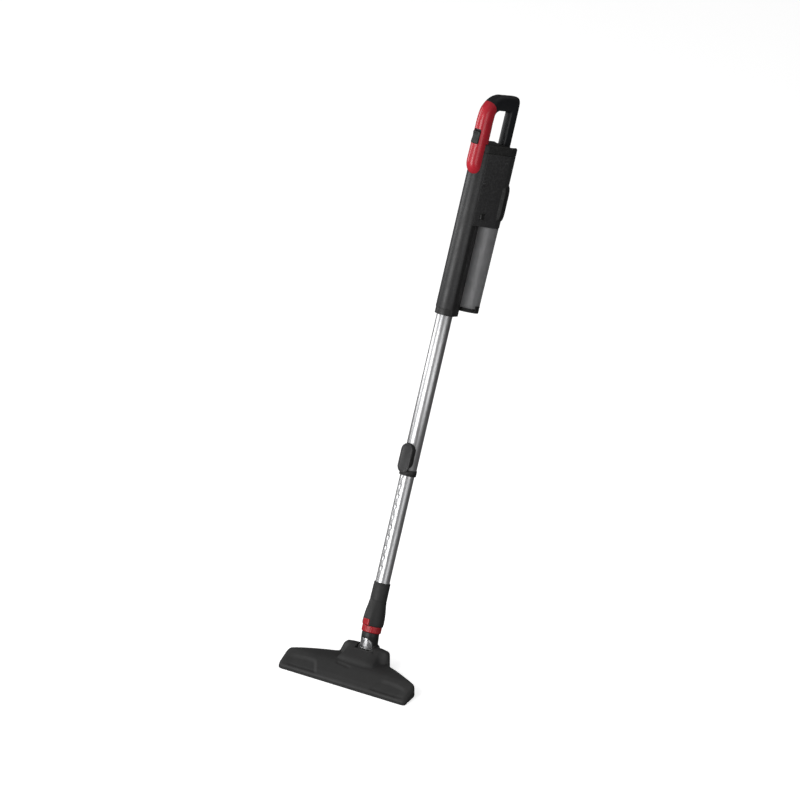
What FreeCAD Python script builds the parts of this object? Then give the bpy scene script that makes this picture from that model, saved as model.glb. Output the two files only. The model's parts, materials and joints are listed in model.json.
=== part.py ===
import FreeCAD, Part
import math
import os
import re
import Sketcher

# Cordless stick vacuum, in millimetres and degrees.
# The row frame stands on the floor: +Z up, X across the floor head, the head's front towards -Y.
# The stick frame has its Z along the telescopic tube, X across the stick and Y towards its rear.

SIZES = {
    # stance: the stick's axis starts at axis_y, axis_z, leans back and is twisted about itself
    "lean_angle": 26.7, "twist_angle": 10.5, "axis_y": 56.75, "axis_z": 28.9,
    # clearances
    "gap": 0.4, "running_gap": 0.05, "shell_wall": 2.2,
    # telescopic tube
    "upper_tube_radius": 16, "upper_tube_wall": 0.8, "upper_tube_low": 368, "tube_seat_depth": 70,
    "lower_tube_radius": 14.5, "lower_tube_wall": 1.4, "lower_tube_low": 77, "tube_overlap": 85,
    "dimple_pitch": 21, "dimple_first": 165, "dimple_count": 10, "dimple_radius": 3, "dimple_long": 9,
    "dimple_deep": 0.8, "sleeve_long": 30,
    "ring_wall": 1.3, "ring_long": 12, "ring_lip": 6,
    # tube button
    "button_low": 368, "button_long": 60, "button_wide": 28, "button_rise": 3.7, "button_thick": 3.3,
    "button_face": "base_face + button_rise", "base_rise": 2.7, "base_face": "upper_tube_radius + base_rise",
    "pin_height": 398, "pin_radius": 2.9, "pin_lift": 2.4, "button_travel": 6,
    # front shell and rear spine
    "tube_room": 5.7, "front_radius": "upper_tube_radius + tube_room", "body_low": 704, "seam_depth": 7,
    "spine_low": 692, "spine_deep": 3.8, "spine_taper": 7.2, "spine_step": 0.9,
    "spine_back": "front_radius + spine_deep",
    "spine_back_half": "front_radius - spine_taper", "spine_bulge_half": "front_radius - spine_step",
    # motor housing
    "housing_low": 878, "band_low": 1025, "housing_high": 1042, "housing_half": 33, "flat_short": 5.5,
    "flat_end": "cup_axis - flat_short", "back_room": 29.5, "housing_back": "cup_axis + back_room",
    "housing_corner": 31, "band_top": 4,
    # socket and duct
    "socket_wall": 2.2, "duct_radius": 12, "duct_wall": 1.6, "duct_height": 796,
    # handle loop
    "loop_high": 1141, "loop_low": 979, "grip_front": 36, "grip_half": 15, "grip_back": 1.9,
    "post_front": 52, "post_back": 78, "post_half": 9.5, "hole_high": 1109, "loop_front_round": 38,
    "loop_back_round": 14, "hole_front_round": 17, "hole_back_round": 5, "foot_round": 12,
    "loop_edge_round": 5, "cover_wall": 2.5, "cover_high": 1132, "cover_back": 4,
    # power switch
    "switch_low": 1040, "switch_long": 25, "switch_half": 8.2, "switch_travel": 4, "switch_proud": 0.8,
    # dust cup
    "cup_room": 2, "cup_axis": "spine_back + cup_high_radius + cup_room", "cup_high": 877.5,
    "cup_low": 711.5, "cup_high_radius": 31, "cup_low_radius": 29.3,
    "cup_wall": 1.8, "rim_radius": 27.4, "rim_high": 887, "lid_low": 703.5, "hinge_out": 32.6,
    "hinge_radius": 3.4, "lid_pin_radius": 1.5, "knuckle_half": 5.6, "ear_half": 9.2,
    # filter
    "cage_step": 3.1, "cage_radius": "collar_radius - cage_step", "cage_low": 782, "cage_wall": 1.6,
    "collar_room": 0.5, "collar_radius": "rim_radius - cup_wall - collar_room", "collar_low": 874,
    "collar_high": 885.5, "pleat_room": 3.5, "pleat_deep": 5,
    "pleat_outer": "cage_radius - pleat_room", "pleat_inner": "pleat_outer - pleat_deep", "pleat_count": 24,
    # motor
    "motor_radius": 22, "motor_low": 901, "motor_high": 956, "shaft_radius": 2.5, "fan_low": 890.5,
    "fan_radius": 20, "fan_thick": 7,
    # exhaust grille
    "grille_low": 892, "grille_high": 965, "grille_proud": 4, "grille_start": 47, "slot_wide": 3,
    "slot_count": 7, "slot_pitch": 7,
    # cup latch
    "latch_height": 898, "latch_depth": 14, "latch_half": 5.5, "latch_face": 26.4, "latch_back": 20.4,
    # battery, board and charging socket
    "cell_radius": 9, "cell_long": 65, "cell_low": 889, "cell_pitch": 9.4, "board_depth": 33.5,
    "jack_radius": 2.75, "jack_long": 9.5, "jack_height": 1006, "jack_wall": 2.2,
    # neck
    "cuff_high": 142, "cuff_low": 53.8, "cuff_collar_radius": 16.6, "cuff_wide_radius": 21.6,
    "spigot_radius": 15.6, "spigot_high": 71, "spigot_low": 40, "neck_bore": 12.6,
    "swivel_ring_radius": 19.8, "swivel_ring_low": 40.6,
    "release_face": 26, "release_low": 55, "release_high": 67.5, "release_half": 7.5,
    # elbow
    "tilt_y": 64, "tilt_z": 26.5, "drum_radius": 17, "drum_half": 18.5, "barrel_radius": 17.6,
    "tilt_pin_radius": 4, "tilt_pin_out": 31,
    # floor head
    "head_half": 147, "head_front": -45, "head_rear": 70, "wing_rear": -5, "wing_high": 27.5,
    "hump_high": 43, "head_floor": 3, "head_wall": 2.6, "slot_half": 19.2, "slot_front": 43,
    "mouth_half": 118, "mouth_front": -33, "mouth_rear": -12, "sole_high": 8,
    "wheel_radius": 9, "wheel_wide": 8, "wheel_x": 66, "wheel_y": 30, "axle_radius": 2, "axle_long": 15,
    "bristle_pitch": 6.5, "bristle_radius": 1.3, "bristle_count": 36,
}

SHEET = "Sizes"
WORD = re.compile(r"[a-z_]+")

doc = FreeCAD.newDocument("StickVacuum")
sheet = doc.addObject("Spreadsheet::Sheet", SHEET)
for row, alias in enumerate(SIZES, 1):
    sheet.set(f"A{row}", alias)
    sheet.setAlias(f"B{row}", alias)
for row, value in enumerate(SIZES.values(), 1):
    sheet.set(f"B{row}", f"={value}" if isinstance(value, str) else str(value))
doc.recompute()

X_WAY = FreeCAD.Vector(1, 0, 0)
Y_WAY = FreeCAD.Vector(0, 1, 0)
Z_WAY = FreeCAD.Vector(0, 0, 1)
PIECES = []


def size(alias):
    """A driving size, read from the sheet."""
    return float(sheet.get(alias))


# --- helpers: every number goes in as an expression on the sheet's aliases ---------------------

def linked(text):
    """The expression with each alias written as a cell of the sheet."""
    return WORD.sub(lambda word: f"{SHEET}.{word.group()}" if word.group() in SIZES else word.group(), text)


def bind(thing, **sizes):
    for name, text in sizes.items():
        thing.setExpression(name.replace("__", "."), linked(text))
    return thing


def place(thing, x="0", y="0", z="0", turn=None):
    """Put a thing at an expression-bound place, with a fixed turn."""
    thing.Placement = FreeCAD.Placement(FreeCAD.Vector(), turn or FreeCAD.Rotation())
    for way, text in (("x", x), ("y", y), ("z", z)):
        if text != "0":
            thing.setExpression(f"Placement.Base.{way}", linked(text))
    return thing


def cylinder(radius, height, x="0", y="0", z="0", way=Z_WAY):
    thing = bind(doc.addObject("Part::Cylinder", "Cylinder"), Radius=radius, Height=height)
    return place(thing, x, y, z, FreeCAD.Rotation(Z_WAY, way))


def sphere(radius, x="0", y="0", z="0"):
    return place(bind(doc.addObject("Part::Sphere", "Sphere"), Radius=radius), x, y, z)


def box(x_span, y_span, z_span):
    """A block between two expressions on each axis."""
    thing = doc.addObject("Part::Box", "Box")
    spans = (x_span, y_span, z_span)
    bind(thing, **{name: f"({b}) - ({a})" for name, (a, b) in zip(("Length", "Width", "Height"), spans)})
    return place(thing, *(f"({a})" for a, _ in spans))


def block(half, y_span, z_span):
    """A block centred on X."""
    return box((f"-({half})", half), y_span, z_span)


def cut(base, *tools):
    thing = doc.addObject("Part::Cut", "Cut")
    thing.Base, thing.Tool = base, tools[0] if len(tools) == 1 else fuse(*tools)
    return thing


def fuse(*shapes):
    thing = doc.addObject("Part::MultiFuse", "Fuse")
    thing.Shapes = list(shapes)
    return thing


def common(*shapes):
    thing = doc.addObject("Part::MultiCommon", "Common")
    thing.Shapes = list(shapes)
    return thing


def group(*shapes):
    """Separate solids kept as one node."""
    thing = doc.addObject("Part::Compound", "Group")
    thing.Links = list(shapes)
    return thing


def ring(outer, inner, z, height, x="0", y="0"):
    return cut(cylinder(outer, height, x, y, z), cylinder(inner, height, x, y, z))


def outline(body, role, points):
    """A closed sketch of straight runs on one of the body's own planes, each corner bound to the sheet."""
    sketch = body.newObject("Sketcher::SketchObject", "Outline")
    plane = next(f for f in body.Origin.OriginFeatures if f.Role == role)
    sketch.AttachmentSupport, sketch.MapMode = (plane, [""]), "FlatFace"
    count = len(points)
    starts = [FreeCAD.Vector(10 * math.cos(2 * math.pi * i / count), 10 * math.sin(2 * math.pi * i / count), 0)
              for i in range(count)]
    for i in range(count):
        sketch.addGeometry(Part.LineSegment(starts[i], starts[(i + 1) % count]), False)
    for i in range(count):
        sketch.addConstraint(Sketcher.Constraint("Coincident", i, 2, (i + 1) % count, 1))
    for i, corner in enumerate(points):
        for kind, text in zip(("DistanceX", "DistanceY"), corner):
            at = sketch.addConstraint(Sketcher.Constraint(kind, -1, 1, i, 1, 1.0))
            sketch.setExpression(f"Constraints[{at}]", linked(text))
    return sketch


def edges_at(shape, spot, way):
    """Names of the straight edges that run along a way through a spot."""
    found = []
    for i, edge in enumerate(shape.Edges, 1):
        ends = [v.Point.sub(spot) for v in edge.Vertexes]
        if len(ends) == 2 and all(e.cross(way).Length < 0.01 for e in ends):
            found.append(f"Edge{i}")
    return found


def prism(role, points, start, length, rounds=None):
    """A padded outline; rounds gives {radius: [corner numbers]}. Start and length run along +Z, +X or +Y."""
    body = doc.addObject("PartDesign::Body", "Prism")
    sketch = outline(body, role, points)
    pad = body.newObject("PartDesign::Pad", "Pad")
    pad.Profile = sketch
    pad.Reversed = role == "XZ_Plane"
    bind(sketch, AttachmentOffset__Base__z=f"-({start})" if pad.Reversed else start)
    bind(pad, Length=length)
    doc.recompute()
    way = sketch.Placement.Rotation.multVec(Z_WAY)
    spots = [sketch.Placement.multVec(sketch.getPoint(i, 1)) for i in range(len(points))]
    last = pad
    for radius, corners in (rounds or {}).items():
        names = [name for i in corners for name in edges_at(last.Shape, spots[i], way)]
        fillet = body.newObject("PartDesign::Fillet", "Round")
        fillet.Base = (last, names)
        bind(fillet, Radius=radius)
        doc.recompute()
        last = fillet
    return body


def turned(points, x="0", y="0"):
    """A full revolution about a line along Z; the points are (radius, height)."""
    body = doc.addObject("PartDesign::Body", "Turned")
    sketch = outline(body, "XZ_Plane", points)
    turn = body.newObject("PartDesign::Revolution", "Turn")
    turn.Profile = sketch
    turn.ReferenceAxis = (sketch, ["V_Axis"])
    turn.Angle = 360
    return place(body, x, y)


def mirrored(half):
    """The outline's right half, lowest depth first, with its left half added."""
    return half + [(f"-({x})", y) for x, y in reversed(half)]


def spring(radius, wire, pitch, turns):
    """A coil spring as one closed sleeve with a ridge for each turn, standing on the local origin."""
    ridges = []
    for i in range(turns):
        ridges += [(f"{radius}", f"{i} * {pitch}"), (f"{radius} + {wire}", f"({i} + 0.5) * {pitch}")]
    body = turned([(f"{radius} - {wire}", "0"), *ridges, (radius, f"{turns} * {pitch}"),
                   (f"{radius} - {wire}", f"{turns} * {pitch}")])
    return body


def keep(node, thing, frame):
    """Name a finished piece and set it in its frame."""
    if any("Placement" in name for name, _ in thing.ExpressionEngine):
        thing = group(thing)
    thing.Label, thing.Placement = node, frame
    PIECES.append(thing)
    return thing


# --- frames -----------------------------------------------------------------------------------

HEAD = FreeCAD.Placement()
LEAN = FreeCAD.Placement(FreeCAD.Vector(0, size("axis_y"), size("axis_z")),
                         FreeCAD.Rotation(X_WAY, -size("lean_angle")))
STICK = LEAN.multiply(FreeCAD.Placement(FreeCAD.Vector(), FreeCAD.Rotation(Z_WAY, -size("twist_angle"))))


# --- telescopic tube --------------------------------------------------------------------------

def upper_tube():
    seat_top = "body_low + tube_seat_depth"
    tube = ring("upper_tube_radius", "upper_tube_radius - upper_tube_wall", "upper_tube_low",
                f"{seat_top} - upper_tube_low")
    hole = cylinder("pin_radius + gap", "upper_tube_radius", "0", "-(upper_tube_radius + 1)", "pin_height",
                    Y_WAY)
    keep("upper_tube", cut(tube, hole), STICK)


def tube_end_ring():
    """The plastic ring over the upper tube's open end, with a lip that guides the lower tube."""
    low = "upper_tube_low - ring_lip"
    lip = "lower_tube_radius + gap"
    keep("tube_end_ring", turned([
        (lip, low), ("upper_tube_radius + ring_wall", low),
        ("upper_tube_radius + ring_wall", f"{low} + ring_long"), ("upper_tube_radius", f"{low} + ring_long"),
        ("upper_tube_radius", "upper_tube_low"), (lip, "upper_tube_low")]), STICK)


def oval(half, low, high, back, front):
    """An upright slot shape that stands from depth -back to depth -front."""
    middle = cylinder(half, f"{front} - ({back})", "0", f"-({front})", f"{low} + {half}", Y_WAY)
    top = cylinder(half, f"{front} - ({back})", "0", f"-({front})", f"{high} - {half}", Y_WAY)
    web = block(half, (f"-({front})", f"-({back})"), (f"{low} + {half}", f"{high} - {half}"))
    return fuse(middle, top, web)


def button_base():
    """The saddle on the tube's front that carries the slider and the lock pin."""
    high = "button_low + button_long"
    saddle = oval("(button_wide / 2 - 1)", "(button_low + ring_long - ring_lip)", f"({high})", "8", "base_face")
    bore = cylinder("upper_tube_radius", "button_long", "0", "0", "button_low")
    pin_hole = cylinder("pin_radius + gap", "button_wide", "0", "-(base_face + 1)", "pin_height", Y_WAY)
    spring_hole = cylinder("2.2", "4", "0", "-(base_face + 1.5)", "pin_height + 9", Y_WAY)
    keep("button_base", cut(saddle, bore, pin_hole, spring_hole), STICK)


def tube_button():
    """The oval slider, hollowed over the lock pin so that it can slide up over it."""
    back, room = "(button_face - button_thick)", "(pin_radius + gap)"
    plate = oval("(button_wide / 2)", "(button_low - 1)", "(button_low + button_long - 1)", back, "button_face")
    hollow = oval(room, f"(pin_height - button_travel - {room})", f"(pin_height + {room})", back,
                  f"({back} + 2)")
    grooves = [block("8", ("-(button_face + 1)", "-(button_face - 0.8)"),
                     (f"button_low + {18 + 6 * i}", f"button_low + {20 + 6 * i}")) for i in range(5)]
    keep("tube_button", cut(plate, hollow, *grooves), STICK)


def lock_pin():
    tip = "lower_tube_radius + gap"
    pin = cylinder("pin_radius", f"base_face - 0.7 - ({tip})", "0", "-(base_face - 0.7)", "pin_height", Y_WAY)
    keep("lock_pin", pin, STICK)


def lock_spring():
    """The return spring in the saddle, above the lock pin."""
    place_in_stick = FreeCAD.Placement(
        FreeCAD.Vector(0, -(size("base_face") - 0.4), size("pin_height") + 9), FreeCAD.Rotation(Z_WAY, Y_WAY))
    keep("lock_spring", spring("1.6", "0.3", "0.9", 2), STICK.multiply(place_in_stick))


def lower_tube():
    """The inner tube with its row of pressed detent dimples on the front."""
    high = "upper_tube_low + tube_overlap"
    tube = ring("lower_tube_radius", "lower_tube_radius - lower_tube_wall", "lower_tube_low",
                f"{high} - lower_tube_low")
    dimples = [oval("dimple_radius", f"(dimple_first + {i} * dimple_pitch)",
                    f"(dimple_first + {i} * dimple_pitch + dimple_long)",
                    "(lower_tube_radius - dimple_deep)", "(lower_tube_radius + 1)")
               for i in range(int(size("dimple_count")))]
    keep("lower_tube", cut(tube, *dimples), STICK)


def guide_sleeve():
    """The sliding bush on the lower tube's upper end, cut away in front for the lock pin."""
    high = "upper_tube_low + tube_overlap"
    sleeve = ring("upper_tube_radius - upper_tube_wall - gap", "lower_tube_radius", f"{high} - sleeve_long",
                  "sleeve_long")
    keep("guide_sleeve", cut(sleeve, block("pin_radius + 1", ("-upper_tube_radius", "0"),
                                           (f"{high} - sleeve_long - 1", f"{high} + 1"))), STICK)


# --- main body --------------------------------------------------------------------------------

def front_shell():
    long = "band_low - body_low"
    shell = ring("front_radius", "front_radius - shell_wall", "body_low", long)
    rear = block("front_radius + 1", ("-seam_depth", "front_radius + 1"), ("body_low - 1", "band_low + 1"))
    keep("front_shell", cut(shell, rear), STICK)


def spine_outline(inset):
    """The spine's section behind the front shell."""
    seam = f"sqrt(pow(front_radius; 2) - pow(seam_depth; 2)) - {inset}"
    return mirrored([(seam, "-seam_depth"), (f"spine_bulge_half - {inset}", "1"),
                     (f"spine_back_half - {inset}", f"spine_back - {inset}")])


def rear_spine():
    solid = prism("XY_Plane", spine_outline("0"), "spine_low", "housing_low - spine_low", {"4": [2, 3]})
    hollow = prism("XY_Plane", spine_outline("shell_wall"), "spine_low + 3", "housing_low - spine_low",
                   {"2": [2, 3]})
    front = block("front_radius", ("-front_radius", "-seam_depth + 0.01"), ("body_low", "housing_low"))
    skirt = common(ring("front_radius", "upper_tube_radius", "spine_low", "body_low - spine_low"),
                   block("front_radius", ("-front_radius", "-seam_depth"), ("spine_low", "body_low")))
    tube_way = cylinder("upper_tube_radius", "10", z="spine_low - 1")
    duct_way = cylinder("duct_radius", "20", "0", "spine_back - 10", "duct_height", Y_WAY)
    keep("rear_spine", cut(fuse(cut(solid, hollow, front), skirt), tube_way, duct_way), STICK)


def housing_outline(inset, front="seam_depth"):
    """The motor housing's section: flat sides that widen towards a rounded rear."""
    seam = f"sqrt(pow(front_radius; 2) - pow(seam_depth; 2)) - {inset}"
    return mirrored([(seam, f"-({front})"), (f"housing_half - {inset}", "flat_end"),
                     (f"housing_half - {inset}", f"housing_back - {inset}")])


def latch_block(play):
    """The latch button's outline on the housing's right side."""
    return box((f"latch_back - 2 * {play}", "latch_face"),
               (f"latch_depth - latch_half - {play}", f"latch_depth + latch_half + {play}"),
               (f"latch_height - latch_half - {play}", f"latch_height + latch_half + {play}"))


def motor_housing():
    solid = prism("XY_Plane", housing_outline("0"), "housing_low", "band_low - housing_low",
                  {"housing_corner": [2, 3]})
    hollow = prism("XY_Plane", housing_outline("shell_wall", "seam_depth + 1"), "housing_low + shell_wall",
                   "band_low - housing_low", {"housing_corner - shell_wall": [2, 3]})
    cup_way = cylinder("rim_radius + gap + 0.4", "20", "0", "cup_axis", "housing_low - 1")
    exhaust = block("22", ("housing_back - 8", "housing_back + 1"), ("grille_low + 8", "grille_high - 8"))
    latch_way = latch_block("gap")
    jack_way = cylinder("jack_radius + jack_wall", "20", "0", "housing_back - 12", "jack_height", Y_WAY)
    screw_ways = [body_screw(*spot)[0] for spot in BODY_SCREWS]
    keep("motor_housing", cut(solid, hollow, cup_way, exhaust, latch_way, jack_way, *screw_ways), STICK)


def top_band():
    """The dark band that closes the housing under the handle."""
    rear = prism("XY_Plane", housing_outline("0"), "band_low", "housing_high - band_low",
                 {"housing_corner": [2, 3]})
    front = common(cylinder("front_radius", "housing_high - band_low", z="band_low"),
                   block("front_radius", ("-front_radius", "-seam_depth"), ("band_low", "housing_high")))
    inside = "housing_high - band_low - band_top"
    hollow = prism("XY_Plane", housing_outline("shell_wall", "seam_depth + 1"), "band_low - 1", f"{inside} + 1",
                   {"housing_corner - shell_wall": [2, 3]})
    front_hollow = cylinder("front_radius - shell_wall", f"{inside} + 1", z="band_low - 1")
    keep("top_band", cut(fuse(rear, front), hollow, front_hollow), STICK)


def tube_socket():
    """The collar inside the body that the upper tube is pressed into, with a stop for its end."""
    wall, top = "upper_tube_radius + socket_wall", "body_low + tube_seat_depth"
    keep("tube_socket", turned([
        ("upper_tube_radius", "body_low"), (wall, "body_low"), (wall, f"{top} + 3"),
        ("duct_radius - duct_wall", f"{top} + 3"), ("duct_radius - duct_wall", top),
        ("upper_tube_radius", top)]), STICK)


def intake_duct():
    """The bend that takes the air from the tube into the dust cup."""
    low = "body_low + tube_seat_depth + 3"
    inner = "duct_radius - duct_wall"

    def bend(radius, low_end, out_end):
        return fuse(cylinder(radius, f"duct_height - ({low_end})", z=low_end), sphere(radius, z="duct_height"),
                    cylinder(radius, out_end, "0", "0", "duct_height", Y_WAY))

    keep("intake_duct", cut(bend("duct_radius", low, "spine_back"),
                            bend(inner, f"{low} - 1", "spine_back + 1")), STICK)


def exhaust_grille():
    """The slotted cover that stands proud of the housing's rear."""
    proud = "housing_half + grille_proud"
    back = "housing_back + grille_proud"
    shape = mirrored([("housing_half - 2", "grille_start"), (proud, "grille_start + 9"), (proud, back)])
    solid = prism("XY_Plane", shape, "grille_low", "grille_high - grille_low", {"housing_corner + 2": [2, 3]})
    inner = prism("XY_Plane", housing_outline("0"), "grille_low - 1", "grille_high - grille_low + 2",
                  {"housing_corner": [2, 3]})
    slots = [box((f"({i} - (slot_count - 1) / 2) * slot_pitch - slot_wide / 2",
                  f"({i} - (slot_count - 1) / 2) * slot_pitch + slot_wide / 2"),
                 ("housing_back - 12", f"{back} + 1"), ("grille_low + 10", "grille_high - 10"))
             for i in range(int(size("slot_count")))]
    keep("exhaust_grille", cut(solid, inner, *slots), STICK)


def handle_solid(inset):
    """The loop handle's outer form: its side outline, crossed with its outline from above."""
    low = f"loop_low + {inset}"
    side = [("-15", low), (f"-grip_front + {inset}", f"{low} + 22"),
            (f"-grip_front + 3 + {inset}", f"loop_high - {inset}"),
            (f"post_back - {inset}", f"loop_high - {inset}"), (f"post_back - {inset}", "housing_high"),
            (f"post_front + {inset}", "housing_high"), (f"post_front + {inset}", f"hole_high + {inset}"),
            (f"grip_back - {inset}", f"hole_high + {inset}"), (f"grip_back - {inset}", "housing_high"),
            ("-15", "housing_high")]
    rounds = {"foot_round": [1], f"loop_front_round - {inset}": [2], f"loop_back_round - {inset}": [3],
              f"hole_back_round + {inset}": [6], f"hole_front_round + {inset}": [7]}
    profile = prism("YZ_Plane", side, "-grip_half", "2 * grip_half", rounds)
    above = mirrored([(f"grip_half - {inset}", f"-grip_front + {inset}"), (f"grip_half - {inset}", "grip_back"),
                      (f"post_half - {inset}", "post_front - 6"), (f"post_half - {inset}", "post_back")])
    plan = prism("XY_Plane", above, "loop_low - 1", "loop_high - loop_low + 2", {f"12 - {inset}": [0, 7]})
    body_way = cylinder("front_radius", "housing_high - loop_low + 1", z="loop_low - 1")
    return cut(common(profile, plan), body_way)


def cover_zone(grow):
    """Where the red cover lies: the grip's front and sides, and the start of the loop's top."""
    return prism("YZ_Plane", [
        ("-grip_front - 5", "loop_low - 5"), ("-cover_back", "loop_low - 5"), ("-cover_back", "hole_high - 22"),
        ("4", "hole_high - 6"), ("-14", "cover_high + 2"), ("-grip_front - 5", "cover_high + 8")],
        f"-grip_half - {grow}", f"2 * grip_half + 2 * {grow}")


def switch_way(play, depth):
    return block(f"switch_half + {play}", ("-grip_front - 3", depth),
                 (f"switch_low - {play}", f"switch_low + switch_long + switch_travel + {play}"))


def handle_pieces():
    """The loop, the red cover over its grip, the switch in the cover and the contact block behind it."""
    outer, core = handle_solid("0"), handle_solid("cover_wall")
    cover = common(cut(outer, core), cover_zone("1"))
    cover_cut = cut(cover, switch_way("gap", "0"))
    keep("grip_cover", cover_cut, STICK)
    well = switch_way("gap", "-grip_front + cover_wall + 4")
    pocket = block("7", ("-grip_front + 6", "-6"), ("housing_high + 0.5", "switch_low + switch_long"))
    keep("handle_loop", cut(handle_solid("0"), cover, well, pocket), STICK)
    inner = block("6.9", ("-grip_front + 7.5", "-6.2"),
                  ("housing_high + 0.8", "switch_low + switch_long - 0.1"))
    keep("switch_module", inner, STICK)
    cap = prism("YZ_Plane", [
        ("-grip_front - switch_proud + 0.6", "switch_low"), ("-grip_front - switch_proud", "switch_low + 6"),
        ("-grip_front + 0.6", "switch_low + switch_long / 2"),
        ("-grip_front - switch_proud + 0.6", "switch_low + switch_long - 6"),
        ("-grip_front - switch_proud + 1.4", "switch_low + switch_long"),
        ("-grip_front + 5.4", "switch_low + switch_long"), ("-grip_front + 5.4", "switch_low")],
        "-switch_half", "2 * switch_half")
    keep("power_switch", cap, STICK)


def cup_latch():
    """The push button on the housing's right side, and the coil spring behind it."""
    keep("cup_latch", latch_block("0"), STICK)
    room = size("latch_back") - 6
    seat = FreeCAD.Placement(FreeCAD.Vector(room, size("latch_depth"), size("latch_height")),
                             FreeCAD.Rotation(Z_WAY, X_WAY))
    keep("latch_spring", spring("2.2", "0.35", "1.3", 4), STICK.multiply(seat))


def motor():
    """The motor in its rubber mount, and the rotor with its fan below it."""
    keep("motor_can", cut(
        cylinder("motor_radius", "motor_high - motor_low", "0", "cup_axis", "motor_low"),
        cylinder("motor_radius - 1.5", "motor_high - motor_low - 4", "0", "cup_axis", "motor_low + 2"),
        cylinder("shaft_radius + running_gap", "80", "0", "cup_axis", "motor_low - 5")), STICK)
    out, low = "housing_back - shell_wall - cup_axis - 0.1", "rim_high + 0.6"
    cup = ring(out, "fan_radius + 1.2", low, "motor_low + 12 - rim_high - 0.6", "0", "cup_axis")
    floor = ring(out, "12.4", low, "1.4", "0", "cup_axis")
    grip = ring(out, "motor_radius", "motor_low", "12", "0", "cup_axis")
    bore = cylinder("motor_radius", "20", "0", "cup_axis", "motor_low")
    keep("motor_mount", fuse(cut(cup, bore), floor, grip), STICK)
    fan = cylinder("fan_radius", "1.6", "0", "cup_axis", "fan_low + fan_thick - 1.6")
    hub = cylinder("6", "fan_thick", "0", "cup_axis", "fan_low")
    blades = []
    for i in range(7):
        blade = box(("5", "fan_radius - 1"), ("-0.6", "0.6"), ("fan_low", "fan_low + fan_thick - 1"))
        turn = group(blade)
        turn.Placement = FreeCAD.Placement(FreeCAD.Vector(0, size("cup_axis"), 0),
                                           FreeCAD.Rotation(Z_WAY, 360 * i / 7))
        blades.append(turn)
    shaft = cylinder("shaft_radius", "motor_high + 3 - fan_low", "0", "cup_axis", "fan_low")
    core = cylinder("motor_radius - 8", "30", "0", "cup_axis", "motor_low + 12")
    keep("rotor", fuse(fan, hub, shaft, core, *blades), STICK)


def battery():
    """Two layers of three cells in their holder, and the control board behind them."""
    spots = [("-cell_pitch", "0"), ("cell_pitch", "0"), ("0", "cell_pitch * 1.75")]
    layers = ["cell_low", "cell_low + cell_long + 2"]
    cells = [cylinder("cell_radius", "cell_long", x, y, z) for z in layers for x, y in spots]
    keep("battery_cells", group(*cells), STICK)
    plates = [prism("XY_Plane", mirrored([("18", "-6.5"), ("19.5", "10"), ("9", "27")]), z, "2")
              for z in ("cell_low - 2", "cell_low + cell_long", "cell_low + 2 * cell_long + 2")]
    web = box(("-0.7", "0.7"), ("3", "6"), ("cell_low - 2", "cell_low + 2 * cell_long + 4"))
    keep("cell_holder", fuse(*plates, web), STICK)
    board = block("22", ("board_depth", "board_depth + 1.6"), ("motor_high + 8", "motor_high + 62"))
    chips = [box((f"{x}", f"{x} + 7"), ("board_depth + 1.6", "board_depth + 4"),
                 (f"motor_high + {z}", f"motor_high + {z} + 7"))
             for x, z in ((-16, 14), (2, 20), (-8, 40), (9, 44))]
    keep("control_board", fuse(board, *chips), STICK)


def charge_socket():
    outer = cylinder("jack_radius + jack_wall", "jack_long + 2.5", "0", "housing_back - jack_long - 2",
                     "jack_height", Y_WAY)
    bore = cylinder("jack_radius", "jack_long", "0", "housing_back - jack_long + 0.5", "jack_height", Y_WAY)
    keep("charge_socket", cut(outer, bore), STICK)


def dust_cup():
    """The clear cup with its plug-in rim, its air inlet and the two ears of the lid's hinge."""
    outer = turned([
        ("0", "cup_low"), ("cup_low_radius", "cup_low"), ("cup_high_radius", "cup_high"),
        ("rim_radius", "cup_high"), ("rim_radius", "rim_high"), ("0", "rim_high")], y="cup_axis")
    inner = turned([
        ("0", "cup_low - 1"), ("cup_low_radius - cup_wall", "cup_low - 1"),
        ("cup_low_radius - cup_wall", "cup_low"), ("cup_high_radius - cup_wall", "cup_high - 5"),
        ("rim_radius - cup_wall", "cup_high - 2"), ("rim_radius - cup_wall", "rim_high + 1"),
        ("0", "rim_high + 1")], y="cup_axis")
    inlet = cylinder("duct_radius - duct_wall", "20", "0", "spine_back - 2", "duct_height", Y_WAY)
    groove = ring("rim_radius + 1", "rim_radius - 0.8", "cup_high + 3", "3", "0", "cup_axis")
    ears = [cylinder("hinge_radius", "ear_half - knuckle_half - gap", "-hinge_out",
                     y, "cup_low - 4.2", Y_WAY)
            for y in ("cup_axis + knuckle_half + gap", "cup_axis - ear_half")]
    webs = [box(("-hinge_out - hinge_radius", "-cup_low_radius + 1"), span, ("cup_low - 4.2", "cup_low + 5"))
            for span in (("cup_axis + knuckle_half + gap", "cup_axis + ear_half"),
                         ("cup_axis - ear_half", "cup_axis - knuckle_half - gap"))]
    pin_way = cylinder("lid_pin_radius", "3 * ear_half", "-hinge_out", "cup_axis - 1.5 * ear_half",
                       "cup_low - 4.2", Y_WAY)
    lid_room = cylinder("cup_low_radius + gap + 0.4", "cup_low - lid_low + 2", "0", "cup_axis", "lid_low - 2")
    keep("dust_cup", cut(fuse(outer, cut(fuse(*webs, *ears), lid_room)), inner, inlet, groove, pin_way), STICK)
    keep("cup_seal", ring("rim_radius + 0.4", "rim_radius - 0.8", "cup_high + 3", "3", "0", "cup_axis"), STICK)


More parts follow.
